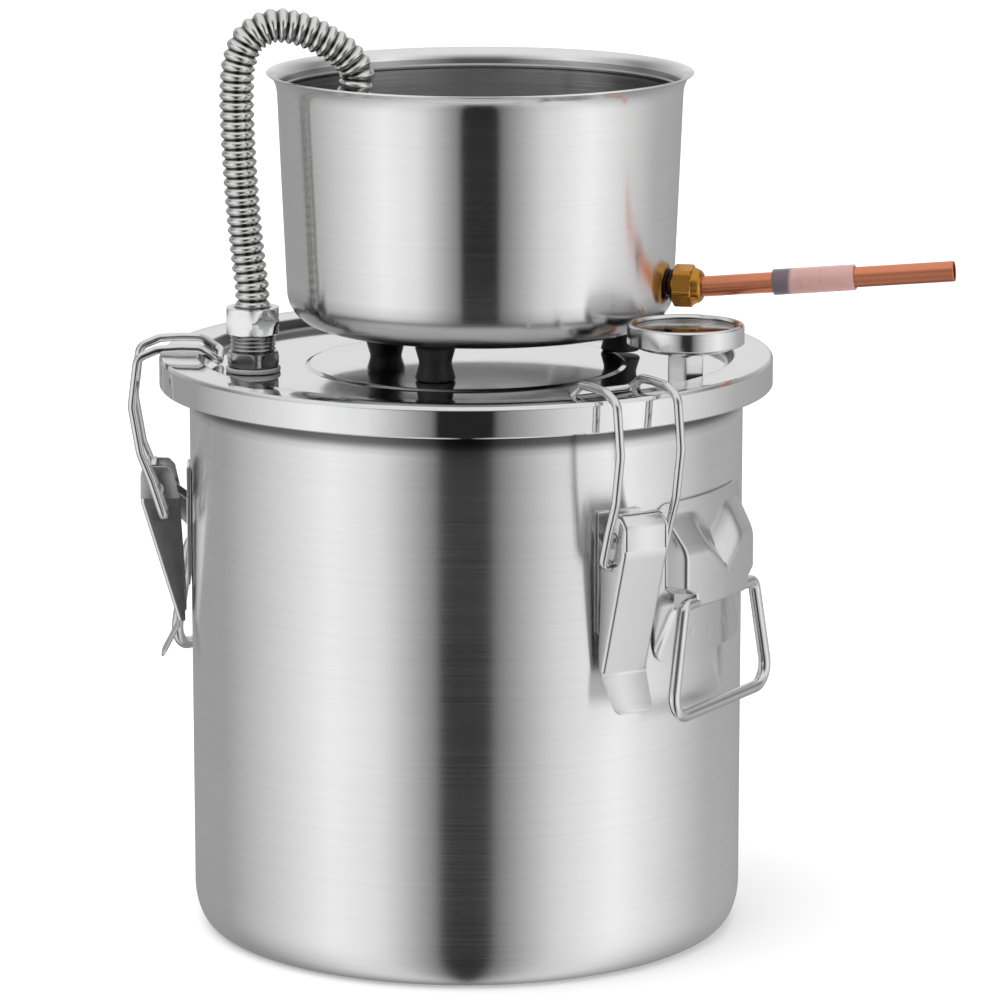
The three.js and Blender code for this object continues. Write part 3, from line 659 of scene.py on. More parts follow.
def boolean(o, cutter, op="DIFFERENCE"):
    m = o.modifiers.new("cut", "BOOLEAN")
    m.operation = op; m.object = cutter; m.solver = "EXACT"
    apply_mods(o)
    bpy.data.objects.remove(cutter)
    return o


def smooth(o, angle=32):
    o.data.shade_smooth()
    o.data.set_sharp_from_angle(angle=rad(angle))
    return o


def az(deg, x=0, y=0, z=0):
    return Matrix.Translation((x, y, z)) @ Matrix.Rotation(rad(deg), 4, "Z")


TURN = az(PLAN)

# ------------------------------------------------------------------ boiler
R, T = 125.0, 1.0
def corner_pts(r, base, n=14, a=9.0, b=18.0):
    return [(r - a + a * math.sin(rad(90 * i / n)), base + b * (1 - math.cos(rad(90 * i / n)))) for i in range(n + 1)]
prof = [(0, 0.9), (60, 0.6), (108, 0.25), (113, 0.0)] + corner_pts(R, 0.0)[1:] + [(R, 60), (R, 120), (R, 180), (R, 230), (R, 246.5)]
prof += [(R + 0.3, 248.4), (R + 1.2, 249.6), (R + 2.8, 250.2), (133.0, 250.2), (134.2, 250.4), (134.6, 250.8), (134.2, 251.25), (133.0, 251.4), (R + 1.4, 251.4), (R + 0.2, 251.1), (R - 0.7, 250.2), (R - T, 248.6)]
prof += [(R - T, 200), (R - T, 120), (R - T, 60)] + [(r, z) for r, z in reversed(corner_pts(R - T, 1.2, 10, 8.2, 17))] + [(60, 1.7), (0, 1.9)]
pot = lathe("boiler_shell", prof, 256, mat="pot")
put(pot, "boiler", ["boiler_pot"])

gk = fillet([(124.9, 252.0), (134.4, 252.0), (136.4, 258.6), (134.6, 260.4), (124.9, 260.4)], {1: 1, 2: 1.2, 3: 0.8}, 4)
put(lathe("lid_seal", gk, 192, True, mat="silicone"), "boiler", ["lid_gasket"])

top = [(0, 257.6), (70.4, 257.6), (72.6, 256.55), (118.4, 256.6), (120.9, 262.2), (137.3, 262.2), (138.4, 260.6), (138.4, 249.0), (138.0, 248.45), (137.5, 248.45), (137.35, 249.0), (137.35, 260.2), (136.6, 261.1), (121.6, 261.1), (119.0, 255.5), (72.2, 255.5), (70.2, 256.5), (0, 256.5)]
top = fillet(top, {1: 2.2, 2: 1.6, 3: 2.2, 4: 1.6, 5: 1.4, 6: 1.2, 11: .6, 12: .6, 13: 1, 14: 1.6, 15: 1.2, 16: 1.6}, 6)
lid = lathe("lid_pressing", top, 256, mat="lid")
vx, vy = (TURN @ Vector((-95.2, -20, 0))).xy
tx, ty = (TURN @ Vector((97, -53.7, 0))).xy
for (x, y, r) in ((vx, vy, 10.8), (tx, ty, 7.1)):
    cut_o = lathe("cutter", [(0, 240), (r, 240), (r, 275), (0, 275)], 48, M=Matrix.Translation((x, y, 0)))
    boolean(lid, cut_o)
smooth(lid, 30)
put(lid, "boiler", ["boiler_lid"])

# ------------------------------------------------------------------ draw clamps
def prism(name, poly, y0, y1, mat=None, M=None):
    n = len(poly)
    V = [(x, y0, z) for x, z in poly] + [(x, y1, z) for x, z in poly]
    F = [tuple(range(n)), tuple(reversed(range(n, 2 * n)))] + [(i, (i + 1) % n, n + (i + 1) % n, n + i) for i in range(n)]
    return mesh_obj(name, V if M is None else xform(V, M), F, False, mat)


def join_objs(objs, name):
    bm = bmesh.new()
    for o in objs:
        bm.from_mesh(o.data)
        if o is not objs[0]:
            bpy.data.objects.remove(o)
    bm.to_mesh(objs[0].data); bm.free()
    objs[0].name = name
    return objs[0]


PX, PZ, HX, HZ, BY = 139.5, 202.0, 136.8, 190.0, 15.5
def cyl_y(name, r, y0, y1, x, z, seg=32):
    v, f = lathe_data([(0, y0), (r, y0), (r, y1), (0, y1)], seg)
    M = Matrix.Translation((x, 0, z)) @ Matrix.Rotation(rad(-90), 4, "X")
    return mesh_obj(name, xform(v, M), f, True)


def lerp_tab(t, x):
    for (a0, v0), (a1, v1) in zip(t[:-1], t[1:]):
        if x <= a1:
            return v0 + (v1 - v0) * max(0.0, (x - a0) / (a1 - a0))
    return t[-1][1]


def strip_data(path, half, t, flip=False, c=0.28):
    """Sheet strip with softened long edges: path is a list of (x, z); half(i) the half width; t the thickness."""
    P = [Vector(p) for p in path]
    V, F = [], []
    n = len(P)
    for i, p in enumerate(P):
        d = (P[min(i + 1, n - 1)] - P[max(i - 1, 0)]).normalized()
        nr = Vector((d.y, -d.x)) * (-1 if flip else 1)
        h = half(i)
        for y, u in ((-h + c, 0), (h - c, 0), (h - c * 0.3, c * 0.3), (h, c), (h, t - c), (h - c, t), (-h + c, t), (-h, t - c), (-h, c), (-h + c * 0.3, c * 0.3)):
            q = p + nr * u
            V.append((q.x, y, q.y))
    m = 10
    for i in range(n - 1):
        a_, b_ = m * i, m * i + m
        for k in range(m):
            k2 = (k + 1) % m
            F.append((a_ + k, a_ + k2, b_ + k2, b_ + k))
    F += [tuple(reversed(range(m))), tuple(range(m * (n - 1), m * n))]
    return V, F


WEB = [(123.6, 139.25), (139.6, 130.75), (196.0, 147.4), (209.0, 147.3)]     # z -> outer x of the web
FIN_ = [(139.6, 127.8), (150.0, 127.8), (184.0, 129.8), (197.0, 129.6), (212.0, 132.4)]   # z -> inner edge of the flanges


def channel_data(z0, z1, n=26, w=11.4, r=1.7, t=1.1):
    V, F = [], []
    m = None
    for i in range(n + 1):
        z = z0 + (z1 - z0) * i / n
        xw, xf = lerp_tab(WEB, z), lerp_tab(FIN_, z)
        xf = min(xf, xw - 2.2)
        sec = [(xf, -w)]
        for k in range(7):
            q = rad(90 * k / 6)
            sec.append((xw - r + r * math.sin(q), -w + r - r * math.cos(q)))
        sec += [(x, -y) for x, y in reversed(sec)]
        ri = max(0.3, r - t)
        inn = [(xf, w - t)]
        for k in range(7):
            q = rad(90 * k / 6)
            inn.append((xw - t - ri + ri * math.sin(q), w - t - ri + ri * math.cos(q)))
        inn += [(x, -y) for x, y in reversed(inn)]
        sec += inn
        m = len(sec)
        V += [(x, y, z) for x, y in sec]
    for i in range(n):
        for k in range(m):
            k2 = (k + 1) % m
            F.append((i * m + k, i * m + k2, (i + 1) * m + k2, (i + 1) * m + k))
    h = m // 2
    for base in (0, n * m):
        for k in range(h - 1):
            F.append((base + k, base + k + 1, base + m - 2 - k, base + m - 1 - k))
    return V, F


def lever_mesh(name, M):
    v, f = channel_data(141.0, 197.6)
    ch = mesh_obj(name, v, f, False)
    boolean(ch, cyl_y("c", 2.25, -14, 14, HX, HZ))
    # rolled top between the two relief slots
    top = fillet([(147.4, 197.6), (147.3, 208.4), (143.6, 212.8), (140.3, 213.0)], {1: 4.2, 2: 3.4}, 7)
    v, f = strip_data(top, lambda i: 9.75, 1.15, flip=True)
    roll = mesh_obj("roll", v, f, False)
    # flange tops with a rounded nose
    fl = fillet([(129.7, 197.4), (132.2, 209.2), (134.8, 212.0), (142.4, 212.3), (147.2, 208.0), (147.3, 197.4)], {1: 2.5, 2: 2.5, 3: 4.5, 4: 4.5}, 6)
    tops = [prism("fl", fl, y0, y0 + 1.1) for y0 in (10.3, -11.4)]
    for o_ in tops:
        bevel(o_, 0.2, 2, 40)
    # thumb tab
    tp_ = fillet([(131.163, 141.0), (130.75, 139.6), (136.9, 127.8), (139.1, 123.9)], {1: 3.0}, 9)
    tp_ = [(p_.x, p_.y) for p_ in resample([(a_, b_, 0) for a_, b_ in tp_], 0.8)]
    zz = [b_ for a_, b_ in tp_]
    def hw(i):
        z = zz[i]
        w_ = 11.35 if z > 139 else 11.35 - (139 - z) * 0.12
        if z < 127.2:
            w_ -= 3.4 * (1 - math.sqrt(max(0.0, 1 - ((127.2 - z) / 3.5) ** 2)))
        return w_
    v, f = strip_data(tp_, hw, 1.1, flip=False)
    if Vector(v[2]).x > Vector(v[0]).x:
        v, f = strip_data(tp_, hw, 1.1, flip=True)
    tab = mesh_obj("tab", v, f, False)
    w = join_objs([ch, roll] + tops + [tab], name)
    w.data.materials.clear()
    w.data.materials.append(MAT["clamp"])
    w.data.transform(Matrix.Translation(M.translation * S) @ M.to_3x3().to_4x4())
    smooth(w, 34)
    return w


for nm, a in (("front", -30), ("rear", 90), ("left", 210)):
    M = az(a)
    plate = prism("plate", [(125.35, 157.4), (126.5, 157.4), (126.5, 211.3), (125.35, 211.3)], -11, 11)
    ear = fillet([(125.9, 184.4), (134, 192.8), (141.2, 198.2), (143.0, 202), (141.5, 205.1), (138.2, 205.6), (125.9, 196.4), (125.9, 184.4)], {1: 3, 2: 2.5, 3: 2.5, 4: 2.5, 5: 2.5}, 4)[:-1]
    for s_ in (8.25, -9.35):
        boolean(plate, prism("ear", ear, s_, s_ + 1.1), "UNION")
    boolean(plate, cyl_y("c", 1.9, -12, 12, PX, PZ))
    plate.data.materials.clear(); plate.data.materials.append(MAT["clamp"])
    bevel(plate, 0.25, 2, 35)
    # four spot welds on the foot of the plate
    welds = []
    for y in (-5, 5):
        for z in (163.5, 173):
            v, f = lathe_data([(0, 0.22), (1.2, 0.18), (2.0, 0.05), (2.2, 0.0), (2.2, -0.2), (0, -0.2)], 24)
            welds.append((xform(v, Matrix.Translation((126.55, y, z)) @ Matrix.Rotation(rad(90), 4, "Y")), f))
    v, f = merge_data(*welds)
    wo = mesh_obj("w", v, f, True, "clamp")
    plate = join_objs([plate, wo], f"clamp_base_{nm}")
    plate.data.transform(M)
    smooth(plate, 30)
    put(plate, "boiler", [f"latch_base_{nm}"])
    # rivet pin with domed heads
    body = lathe_data([(0, -12), (1.6, -12), (1.6, 12), (0, 12)], 24)
    h1 = lathe_data([(0, 11.6), (2.6, 11.65), (2.7, 12.0), (2.35, 12.5), (1.3, 12.75), (0, 12.8)], 28)
    h2 = lathe_data([(0, -11.6), (2.6, -11.65), (2.7, -12.0), (2.35, -12.5), (1.3, -12.75), (0, -12.8)], 28)
    v, f = merge_data(body, h1, h2)
    Mp = M @ Matrix.Translation((PX, 0, PZ)) @ Matrix.Rotation(rad(-90), 4, "X")
    put(mesh_obj(f"clamp_rivet_{nm}", xform(v, Mp), f, True, "clamp"), "boiler", [f"latch_pin_{nm}"])
    lv = lever_mesh(f"clamp_lever_{nm}", M)
    put(lv, f"lever_{nm}", [f"latch_lever_{nm}"])
    side = [(HX, 10.1, HZ), (HX, BY, HZ), (142.0, BY, 206.5), (146.9, BY, 219), (150.4, BY, 240.5), (147.6, BY, 262.6), (138.6, BY, 266.4), (128, BY, 266.9), (119.6, BY, 266.6), (111, BY, 260.9)]
    loop = side + [(x, -y, z) for x, y, z in reversed(side)]
    rr = [2.8, 14, 14, 12, 5, 7, 8, 4.5, 3, 3, 4.5, 8, 7, 5, 12, 14, 14, 2.8]
    v, f = sweep_data(rounded_path(loop, rr, 1.1), 1.95, 20)
    put(mesh_obj(f"clamp_bail_{nm}", xform(v, M), f, True, "wire", 50), f"bail_{nm}", [f"latch_bail_{nm}"])

# ------------------------------------------------------------------ side handles
def smin(a, b, k):
    h = max(0.0, min(1.0, 0.5 + 0.5 * (b - a) / k))
    return b + (a - b) * h - k * h * (1 - h)


def smax(a, b, k):
    return -smin(-a, -b, k)


def swell_height(y, z):
    """Radial height of the pressed housing above the pad: a band with two horns and a soft valley between them."""
    ay = abs(y)
    h = 9.5
    flank = (32.6 - ay) * 2.05
    low = (z - 162.3) * 5.0
    notch = ((26.6 - ay) + max(0.0, z - 170.0) * 1.9) * 2.0
    slope = (205.2 - z) * 0.60
    vee = 0.15 + ((ay * 13.0 - (z - 190.8) * 15.0) / 19.8) * 0.96
    h = smin(h, slope, 2.2)
    h = smin(h, smax(vee, 0.5, 4.0), 1.5)
    h = smin(h, flank, 2.0)
    h = smin(h, notch, 2.0)
    h = smin(h, low, 1.2)
    h = smax(h, 0.0, 1.0) - 0.25
    return max(0.0, h)


def bracket(name, M):
    z0, z1, w, rc = 139.6, 210.5, 38.0, 8.0
    def half_width(z):
        d = min(z - z0, z1 - z)
        if d >= rc:
            return w
        return w - rc + math.sqrt(max(0.0, rc * rc - (rc - d) ** 2)) * 0.999 + 0.001
    ny, nzz = 132, 124
    # rows bunch up at the rounded ends
    zs = []
    for i in range(nzz + 1):
        t = i / nzz
        zs.append(z0 + (z1 - z0) * t)
    zs = sorted(set([z0, z1] + [z0 + rc * (1 - math.cos(rad(90 * k / 8))) for k in range(1, 8)] + [z1 - rc * (1 - math.cos(rad(90 * k / 8))) for k in range(1, 8)] + [z for z in zs if z0 + rc < z < z1 - rc]))
    nzz = len(zs) - 1
    V, F = [], []
    for side_ in (0, 1):
        for z in zs:
            wz = half_width(z)
            for j in range(ny + 1):
                y = -wz + 2 * wz * j / ny
                h = swell_height(y, z)
                dimple = 0.0
                for (dy, dz_) in ((-14, 150.5), (0, 147.5), (14, 150.5)):
                    dimple -= 0.16 * math.exp(-(((y - dy) / 1.1) ** 2 + ((z - dz_) / 1.1) ** 2))
                # pressed groove where each leg of the grip swings
                gx = abs(y) - (26.5 + (163.5 - z) * 0.62)
                if z < 164:
                    dimple -= 0.75 * math.exp(-(gx / 2.3) ** 2) * min(1.0, (164 - z) / 3.0)
                r = 125.3 + (1.3 + h + dimple if side_ == 0 else max(0.0, h - 1.2))
                a_ = y / 126.0
                V.append((r * math.cos(a_), r * math.sin(a_), z))
    n1 = (nzz + 1) * (ny + 1)
    W = ny + 1
    for i in range(nzz):
        for j in range(ny):
            a_, b_, c_, d_ = i * W + j, i * W + j + 1, (i + 1) * W + j + 1, (i + 1) * W + j
            F.append((a_, b_, c_, d_)); F.append((n1 + d_, n1 + c_, n1 + b_, n1 + a_))
    for i in range(nzz):
        for j in (0, ny):
            a_, d_ = i * W + j, (i + 1) * W + j
            F.append((a_, d_, n1 + d_, n1 + a_) if j == 0 else (d_, a_, n1 + a_, n1 + d_))
    for j in range(ny):
        for i in (0, nzz):
            a_, b_ = i * W + j, i * W + j + 1
            F.append((b_, a_, n1 + a_, n1 + b_) if i == 0 else (a_, b_, n1 + b_, n1 + a_))
    return mesh_obj(name, xform(V, M), F, True, "bracket", 45)


for nm, a in (("right", -3.7), ("left", 176.3)):
    M = az(a)
    put(bracket(f"handle_bracket_{nm}_shell", M), "boiler", [f"handle_bracket_{nm}"])
    legs = [(131.6, -12, 166), (131.6, -31.5, 166), (132.8, -43.6, 117), (132.8, 43.6, 117), (131.6, 31.5, 166), (131.6, 12, 166)]
    v, f = sweep_data(rounded_path(legs, [4.6, 9.5, 9.5, 4.6], 1.2), 2.75, 24)
    put(mesh_obj(f"handle_grip_{nm}", xform(v, M), f, True, "wire", 50), f"grip_{nm}", [f"handle_bail_{nm}"])

# ------------------------------------------------------------------ riser fitting, washer, nuts
MV = TURN @ Matrix.Translation((-95.2, -20, 0))
v1, f1 = hex_data(21.8, 259.25, 266.0, 7.4, 0.35)
v1 = xform(v1, Matrix.Rotation(rad(12), 4, "Z"))
tp = [(7.4, 265.9)] + [(9.2, 265.9)] + thread_profile(10.2, 266.2, 283.4, 1.81) + [(9.3, 284.1), (7.4, 284.1)]
v2, f2 = lathe_data(tp, 64, True)
tp2 = [(7.4, 259.3), (9.4, 259.3)] + [(r, z) for r, z in reversed(thread_profile(10.2, 243.9, 259.0, 1.81))] + [(9.2, 243.6), (7.4, 243.6)]
v3, f3 = lathe_data(tp2, 64, True)
put(mesh_obj("riser_fitting", xform(*[merge_data((v1, f1), (v2, f2), (v3, f3))[0]], MV), merge_data((v1, f1), (v2, f2), (v3, f3))[1], True, "riser", 25), "boiler", ["vapour_fitting"])
wp = fillet([(10.95, 256.9), (12.1, 256.9), (12.3, 257.4), (12.2, 258.9), (10.95, 258.9)], {1: .3, 2: .4, 3: .5}, 3)
put(lathe("riser_washer", wp, 64, True, MV, "silicone"), "boiler", ["vapour_washer"])
v, f = hex_data(29, 248.7, 254.9, 10.6, 0.9)
put(mesh_obj("riser_locknut", xform(v, MV), f, True, "fitting", 25), "boiler", ["vapour_locknut"])
v, f = hex_data(23.4, 273.95, 285.95, 8.35, 0.3, edge=0.16)
put(mesh_obj("riser_hose_nut", xform(v, MV @ Matrix.Rotation(rad(2), 4, "Z")), f, True, "nut", 25), "riser_nut", ["hose_nut"])

# ------------------------------------------------------------------ condenser
CX, CY, CZ, CT = 6.4, 14.0, 273.7, 387.6
MC = TURN @ Matrix.Translation((CX, CY, 0))
CR = 15.0
cp = [(0, CZ + 0.5), (50, CZ + 0.15), (72.6, CZ)] + [(72.6 + CR * math.sin(rad(90 * i / 14)), CZ + CR - CR * math.cos(rad(90 * i / 14))) for i in range(1, 15)]
cp += [(88.6, 312), (89.8, 340), (91.0, 370), (91.4, 378.6), (91.9, 381.6), (93.0, 384.4), (94.6, 386.1), (95.6, 386.5), (96.05, 386.9), (96.1, 387.3), (95.8, 387.6), (95.0, 387.5), (93.2, 386.8), (91.7, 385.2), (90.7, 382.6), (90.3, 380.4), (89.5, 379.6), (89.5, 378.8), (90.2, 378.0)]
cp += [(90.0, 370), (88.8, 340), (87.6, 312)] + [(72.6 + (CR - 1) * math.sin(rad(90 * i / 10)), CZ + CR - (CR - 1) * math.cos(rad(90 * i / 10))) for i in range(10, 0, -1)] + [(72.6, CZ + 1.1), (0, CZ + 1.4)]
cond = lathe("condenser_shell", cp, 256, M=None, mat="cond")
OUTM = Matrix.Rotation(rad(-14), 4, "Z")
v, f = lathe_data([(0, 70), (5.6, 70), (5.6, 110), (0, 110)], 40)
Mx = OUTM @ Matrix.Translation((0, 0, 293.6)) @ Matrix.Rotation(rad(90), 4, "Y")
boolean(cond, mesh_obj("c", xform(v, Mx), f, True))
cond.data.transform(Matrix.Translation(MC.translation * S) @ MC.to_3x3().to_4x4())
smooth(cond, 30)
# painted shade: inward-facing wall faces inside the bath take the darker steel copy
cond.data.materials.append(MAT["bath"])
ccx, ccy = MC.translation.x * S, MC.translation.y * S
for pl in cond.data.polygons:
    c_ = pl.center
    if (c_.x - ccx) * pl.normal.x + (c_.y - ccy) * pl.normal.y < -0.02 and c_.z > 0.276 and c_.z < 0.3822:
        pl.material_index = 1
put(cond, "condenser", ["condenser_pot"])
ft = fillet([(0, 0), (8.4, 0), (9.0, 1.0), (8.3, 3.4), (7.35, 7.0), (7.3, 8.4), (8.3, 12.0), (9.0, 14.4), (8.4, 15.4), (0, 15.4)], {1: .5, 2: .6, 3: 4, 4: 4, 5: 4, 6: 4, 7: .6, 8: .5}, 4)
for nm, a in (("front", -107.5), ("right", 12.5), ("rear", 132.5)):
    Mf = MC @ Matrix.Translation((65.5 * math.cos(rad(a)), 65.5 * math.sin(rad(a)), 257.9))
    put(lathe(f"rubber_foot_{nm}", ft, 64, M=Mf, mat="rubber"), "condenser", [f"condenser_foot_{nm}"])

# ------------------------------------------------------------------ outlet
MO = MC @ OUTM
MX = MO @ Matrix.Translation((0, 0, 293.6)) @ Matrix.Rotation(rad(90), 4, "Y")
v1, f1 = hex_data(13.5, 79.0, 83.7, 3.3, 0.6)
v2, f2 = lathe_data([(3.3, 72.2), (4.4, 72.2)] + thread_profile(5.05, 72.6, 78.8, 1.0, 0.5) + [(4.9, 79.2), (4.9, 83.6)] + thread_profile(5.05, 84.0, 96.0, 1.0, 0.5) + [(4.3, 96.4), (3.3, 96.4)], 48, True)
v, f = merge_data((v1, f1), (v2, f2))
put(mesh_obj("outlet_bulkhead_body", xform(v, MX), f, True, "brass", 25), "condenser", ["outlet_bulkhead"])
put(lathe("outlet_seal_inner", fillet([(5.4, 84.2), (7.5, 84.2), (7.5, 85.2), (5.4, 85.2)], {1: .3, 2: .3}, 3), 48, True, MX, "silicone"), "condenser", ["outlet_washer_inner"])
put(lathe("outlet_seal_outer", fillet([(5.6, 88.45), (7.3, 88.45), (7.3, 89.55), (5.6, 89.55)], {1: .4, 2: .4}, 3), 48, True, MX, "rubber"), "condenser", ["outlet_washer_outer"])
v1, f1 = hex_data(17.4, 89.85, 98.8, 5.5, 0.9)
v2, f2 = lathe_data(fillet([(4.85, 98.0), (8.4, 98.0), (8.4, 98.9), (7.2, 101.8), (6.1, 102.8), (4.85, 102.8)], {2: .8, 3: 1, 4: .5}, 4), 64, True)
v, f = merge_data((v1, f1), (v2, f2))
put(mesh_obj("outlet_compression_nut", xform(v, MX @ Matrix.Rotation(rad(15), 4, "Z")), f, True, "brass", 25), "condenser", ["outlet_nut"])
RISE = math.tan(rad(5.7))
def p3(x): return (x, 0, 293.6 if x <= 104 else 293.6 + (x - 104) * RISE)
v, f = pipe_data(rounded_path([p3(97.0), p3(104), p3(137)], 40, 1.5), 4.6, 3.75)
put(mesh_obj("copper_tube_inner", xform(v, MO), f, True, "copper", 40), "condenser", ["outlet_tube_inner"])
v, f = pipe_data(resample([p3(143.2), p3(216.3)], 3.0), 4.58, 3.7)
put(mesh_obj("copper_tube_end", xform(v, MO), f, True, "copper", 40), "spout", ["outlet_tube_end"])
v, f = pipe_data(resample([p3(135.1), p3(171.9)], 2.5), 5.8, 4.95)
so = mesh_obj("soft_sleeve", v, f, True, "sleeve", 40)
so.matrix_world = Matrix.Translation(MO.translation * S) @ MO.to_3x3().to_4x4()
bpy.context.view_layer.update()
put(so, "spout", ["outlet_sleeve"])

# ------------------------------------------------------------------ corrugated hose
coilR, coilTop, turns, NN = 60, 356, 3.0, 14
entry = math.atan2(-22, -59.4)
hp = [(-95.2, -20, 284.9), (-95.4, -20, 294), (-96.8, -19.6, 306), (-98.6, -19.4, 324), (-100.2, -19, 346), (-101.2, -18.6, 366), (-101.4, -18.2, 382),
      (-100.2, -17.8, 395), (-95.6, -17, 405.4), (-86, -15.6, 410.8), (-74, -14, 409.6), (-62, -12.4, 404), (-53, -10.8, 397.2), (-48.4, -9.4, 389.4), (-49.6, -8.9, 380.4)]
for i in range(int(turns * NN) + 1):
    t = i / NN
    a = entry - 0.16 + t * 2 * math.pi
    ease = min(1, t / 0.35)
    hp.append((CX + coilR * math.cos(a), CY + coilR * math.sin(a), coilTop + 10 * (1 - ease) ** 2 - t * 19.1))
endA = entry - 0.16 + turns * 2 * math.pi
outA = rad(-14) + 2 * math.pi * math.ceil((endA - rad(-14)) / (2 * math.pi))
span = outA - endA
for f_, r_ in ((0.22, 57), (0.42, 50), (0.62, 42), (0.8, 37), (0.93, 38.5), (0.985, 45)):
    a = endA + span * f_
    z = coilTop - turns * 19.1 + (293.6 - (coilTop - turns * 19.1)) * min(1, f_ / 0.8)
    hp.append((CX + r_ * math.cos(a), CY + r_ * math.sin(a), z))
for r_ in (54, 62, 70.8):
    hp.append((CX + r_ * math.cos(outA), CY + r_ * math.sin(outA), 293.6))
PITCH = 4.25
def hose_r(d):
    u = (d / PITCH) % 1.0
    s = 0.5 - 0.5 * math.cos(2 * math.pi * u)
    return 6.15 + 1.6 * (s ** 0.48)
path = resample(catmull(hp, 24), PITCH / 8)
v, f = sweep_data(path, hose_r, 28, "flat")
hose = mesh_obj("corrugated_hose_body", xform(v, TURN), f, True, "hose", 80)
# per-vertex corrugation height, 0 in a valley and 1 on a crest; it drives the painted shade in the hose's valleys
ga = hose.data.attributes.new("groove", "FLOAT", "POINT")
dist_, k0 = 0.0, None
for i, q in enumerate(path):
    if i:
        dist_ += (Vector(path[i]) - Vector(path[i - 1])).length
    g_ = (hose_r(dist_) - 6.15) / 1.6
    for k in range(28):
        if i * 28 + k < len(hose.data.vertices):
            ga.data[i * 28 + k].value = g_
put(hose, "condenser", ["hose_riser", "hose_coil_1", "hose_coil_2", "hose_coil_3", "hose_outlet_run"])
v, f = hex_data(22, 68.0, 77.5, 8.9, 0.9)
put(mesh_obj("coil_nut_body", xform(v, MX), f, True, "nut", 25), "condenser", ["coil_end_nut"])

# ------------------------------------------------------------------ thermometer
MT = TURN @ Matrix.Translation((97, -53.7, 0))
v1, f1 = hex_data(15.2, 257.1, 270.8, 2.0, 0.5, edge=0.2)
v2, f2 = lathe_data(fillet([(0, 265.6), (6.0, 265.6), (6.0, 272.15), (0, 272.15)], {}), 40)
v3, f3 = lathe_data([(0, 257.4), (5.9, 257.3)] + [(r, z) for r, z in reversed(thread_profile(6.55, 244.9, 257.0, 1.34, 0.6))] + [(5.6, 244.6), (3.2, 244.4), (3.0, 243.6), (3.0, 166.2), (2.6, 165.3), (1.6, 165.0), (0, 165.0)], 40)
v, f = merge_data((v1, f1), (v2, f2), (v3, f3))
put(mesh_obj("thermometer_stem_body", xform(v, MT), f, True, "fitting", 25), "boiler", ["thermometer_stem"])
v, f = hex_data(19, 249.1, 254.8, 7.0, 0.8)
put(mesh_obj("thermometer_nut_body", xform(v, MT), f, True, "fitting", 25), "boiler", ["thermometer_locknut"])
case = fillet([(0, 272.5), (9, 272.5), (19.5, 272.8), (22.0, 273.8), (23.6, 274.7), (25.3, 274.9), (25.9, 275.5), (25.9, 283.2), (25.2, 284), (23.7, 284), (22.9, 282.9), (22.9, 282.4), (24.2, 282.4), (24.2, 277.5), (0, 277.5)], {1: 1, 2: 2, 3: 1.4, 4: .6, 5: .5, 6: .5, 7: .9, 8: .7, 9: .7, 10: .3}, 5)
put(lathe("thermometer_case_body", case, 128, M=MT, mat="bezel"), "boiler", ["thermometer_case"])
put(lathe("thermometer_dial_plate", [(1.3, 277.85), (23.7, 277.85), (23.7, 278.4), (1.3, 278.4)], 96, True, MT, "dial"), "boiler", ["thermometer_dial"])
put(lathe("thermometer_lens_disc", fillet([(0, 280.85), (23.6, 280.85), (23.6, 281.85), (22.6, 282.1), (0, 282.15)], {}), 96, M=MT, mat="glass"), "boiler", ["thermometer_lens"])
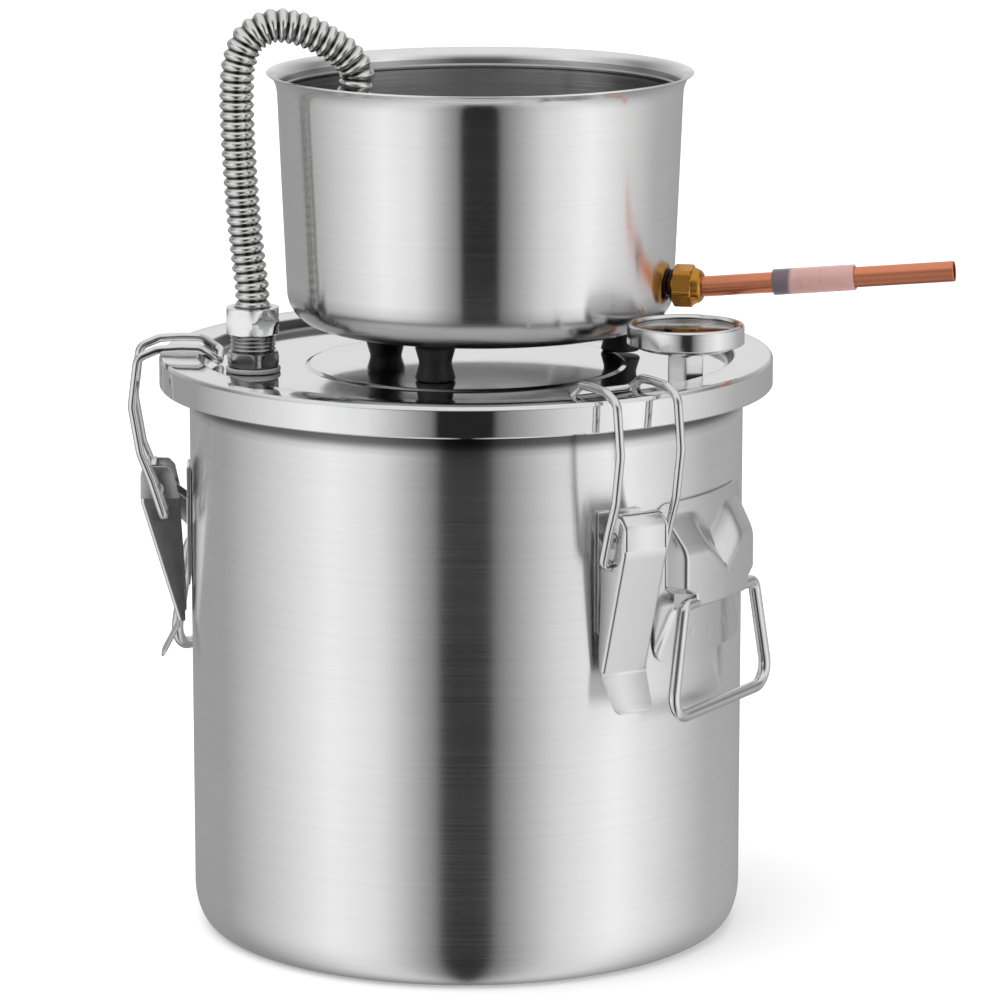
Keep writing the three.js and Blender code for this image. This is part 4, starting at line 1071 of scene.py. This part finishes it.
# printed scale: ticks over 270 degrees, and plain numbers
ticks = []
for k in range(0, 61):
    a = rad(225 - 270 * k / 60)
    L0 = 17.2 if k % 10 == 0 else (18.4 if k % 5 == 0 else 19.4)
    w = 0.32 if k % 5 == 0 else 0.16
    ca, sa = math.cos(a), math.sin(a)
    pts = [(L0, -w), (21.2, -w), (21.2, w), (L0, w)]
    base = [(x * ca - y * sa, x * sa + y * ca) for x, y in pts]
    V = [(x, y, 278.42) for x, y in base] + [(x, y, 278.48) for x, y in base]
    ticks.append((V, [(3, 2, 1, 0), (4, 5, 6, 7), (0, 1, 5, 4), (1, 2, 6, 5), (2, 3, 7, 6), (3, 0, 4, 7)]))
v, f = merge_data(*ticks)
tk = mesh_obj("dial_scale", xform(v, MT), f, False, "ink")
put(tk, "boiler", [])
nums = []
for k in range(0, 7):
    a = rad(225 - 45 * k)
    cu = bpy.data.curves.new(f"n{k}", "FONT")
    cu.body = str(k * 20); cu.size = 3.4 * S; cu.align_x = "CENTER"; cu.align_y = "CENTER"; cu.extrude = 0.03 * S; cu.resolution_u = 3
    to = link(bpy.data.objects.new(f"n{k}", cu))
    dg = bpy.context.evaluated_depsgraph_get()
    me = bpy.data.meshes.new_from_object(to.evaluated_get(dg))
    me.transform(Matrix.Translation((14.2 * math.cos(a) * S, 14.2 * math.sin(a) * S, 278.46 * S)))
    nums.append(me)
    bpy.data.objects.remove(to)
bm = bmesh.new()
for me in nums:
    bm.from_mesh(me)
me = bpy.data.meshes.new("dial_numbers"); bm.to_mesh(me); bm.free()
me.materials.clear(); me.materials.append(MAT["ink"])
me.transform(Matrix.Translation(MT.translation * S) @ MT.to_3x3().to_4x4())
no = link(bpy.data.objects.new("dial_numbers", me))
put(no, "boiler", [])
blade = [(-7.0, -0.9), (-3, -0.75), (-2.2, -1.6), (-1.6, -2.0), (0, -2.4), (1.8, -1.7), (2.4, -0.8), (17.0, -0.25), (18.4, 0), (17.0, 0.25), (2.4, 0.8), (1.8, 1.7), (0, 2.4), (-1.6, 2.0), (-2.2, 1.6), (-3, 0.75), (-7.0, 0.9)]
n = len(blade)
V = [(x, y, 279) for x, y in blade] + [(x, y, 279.35) for x, y in blade]
F = [tuple(reversed(range(n))), tuple(range(n, 2 * n))] + [(i, (i + 1) % n, n + (i + 1) % n, n + i) for i in range(n)]
hub = lathe_data(fillet([(0, 277.9), (0.85, 277.9), (0.85, 278.8), (2.1, 278.9), (2.1, 279.6), (1.2, 280), (0, 280.1)], {}), 28)
v, f = merge_data((V, F), hub)
put(mesh_obj("thermometer_needle_body", xform(v, MT), f, True, "ink", 30), "pointer", ["thermometer_pointer"])
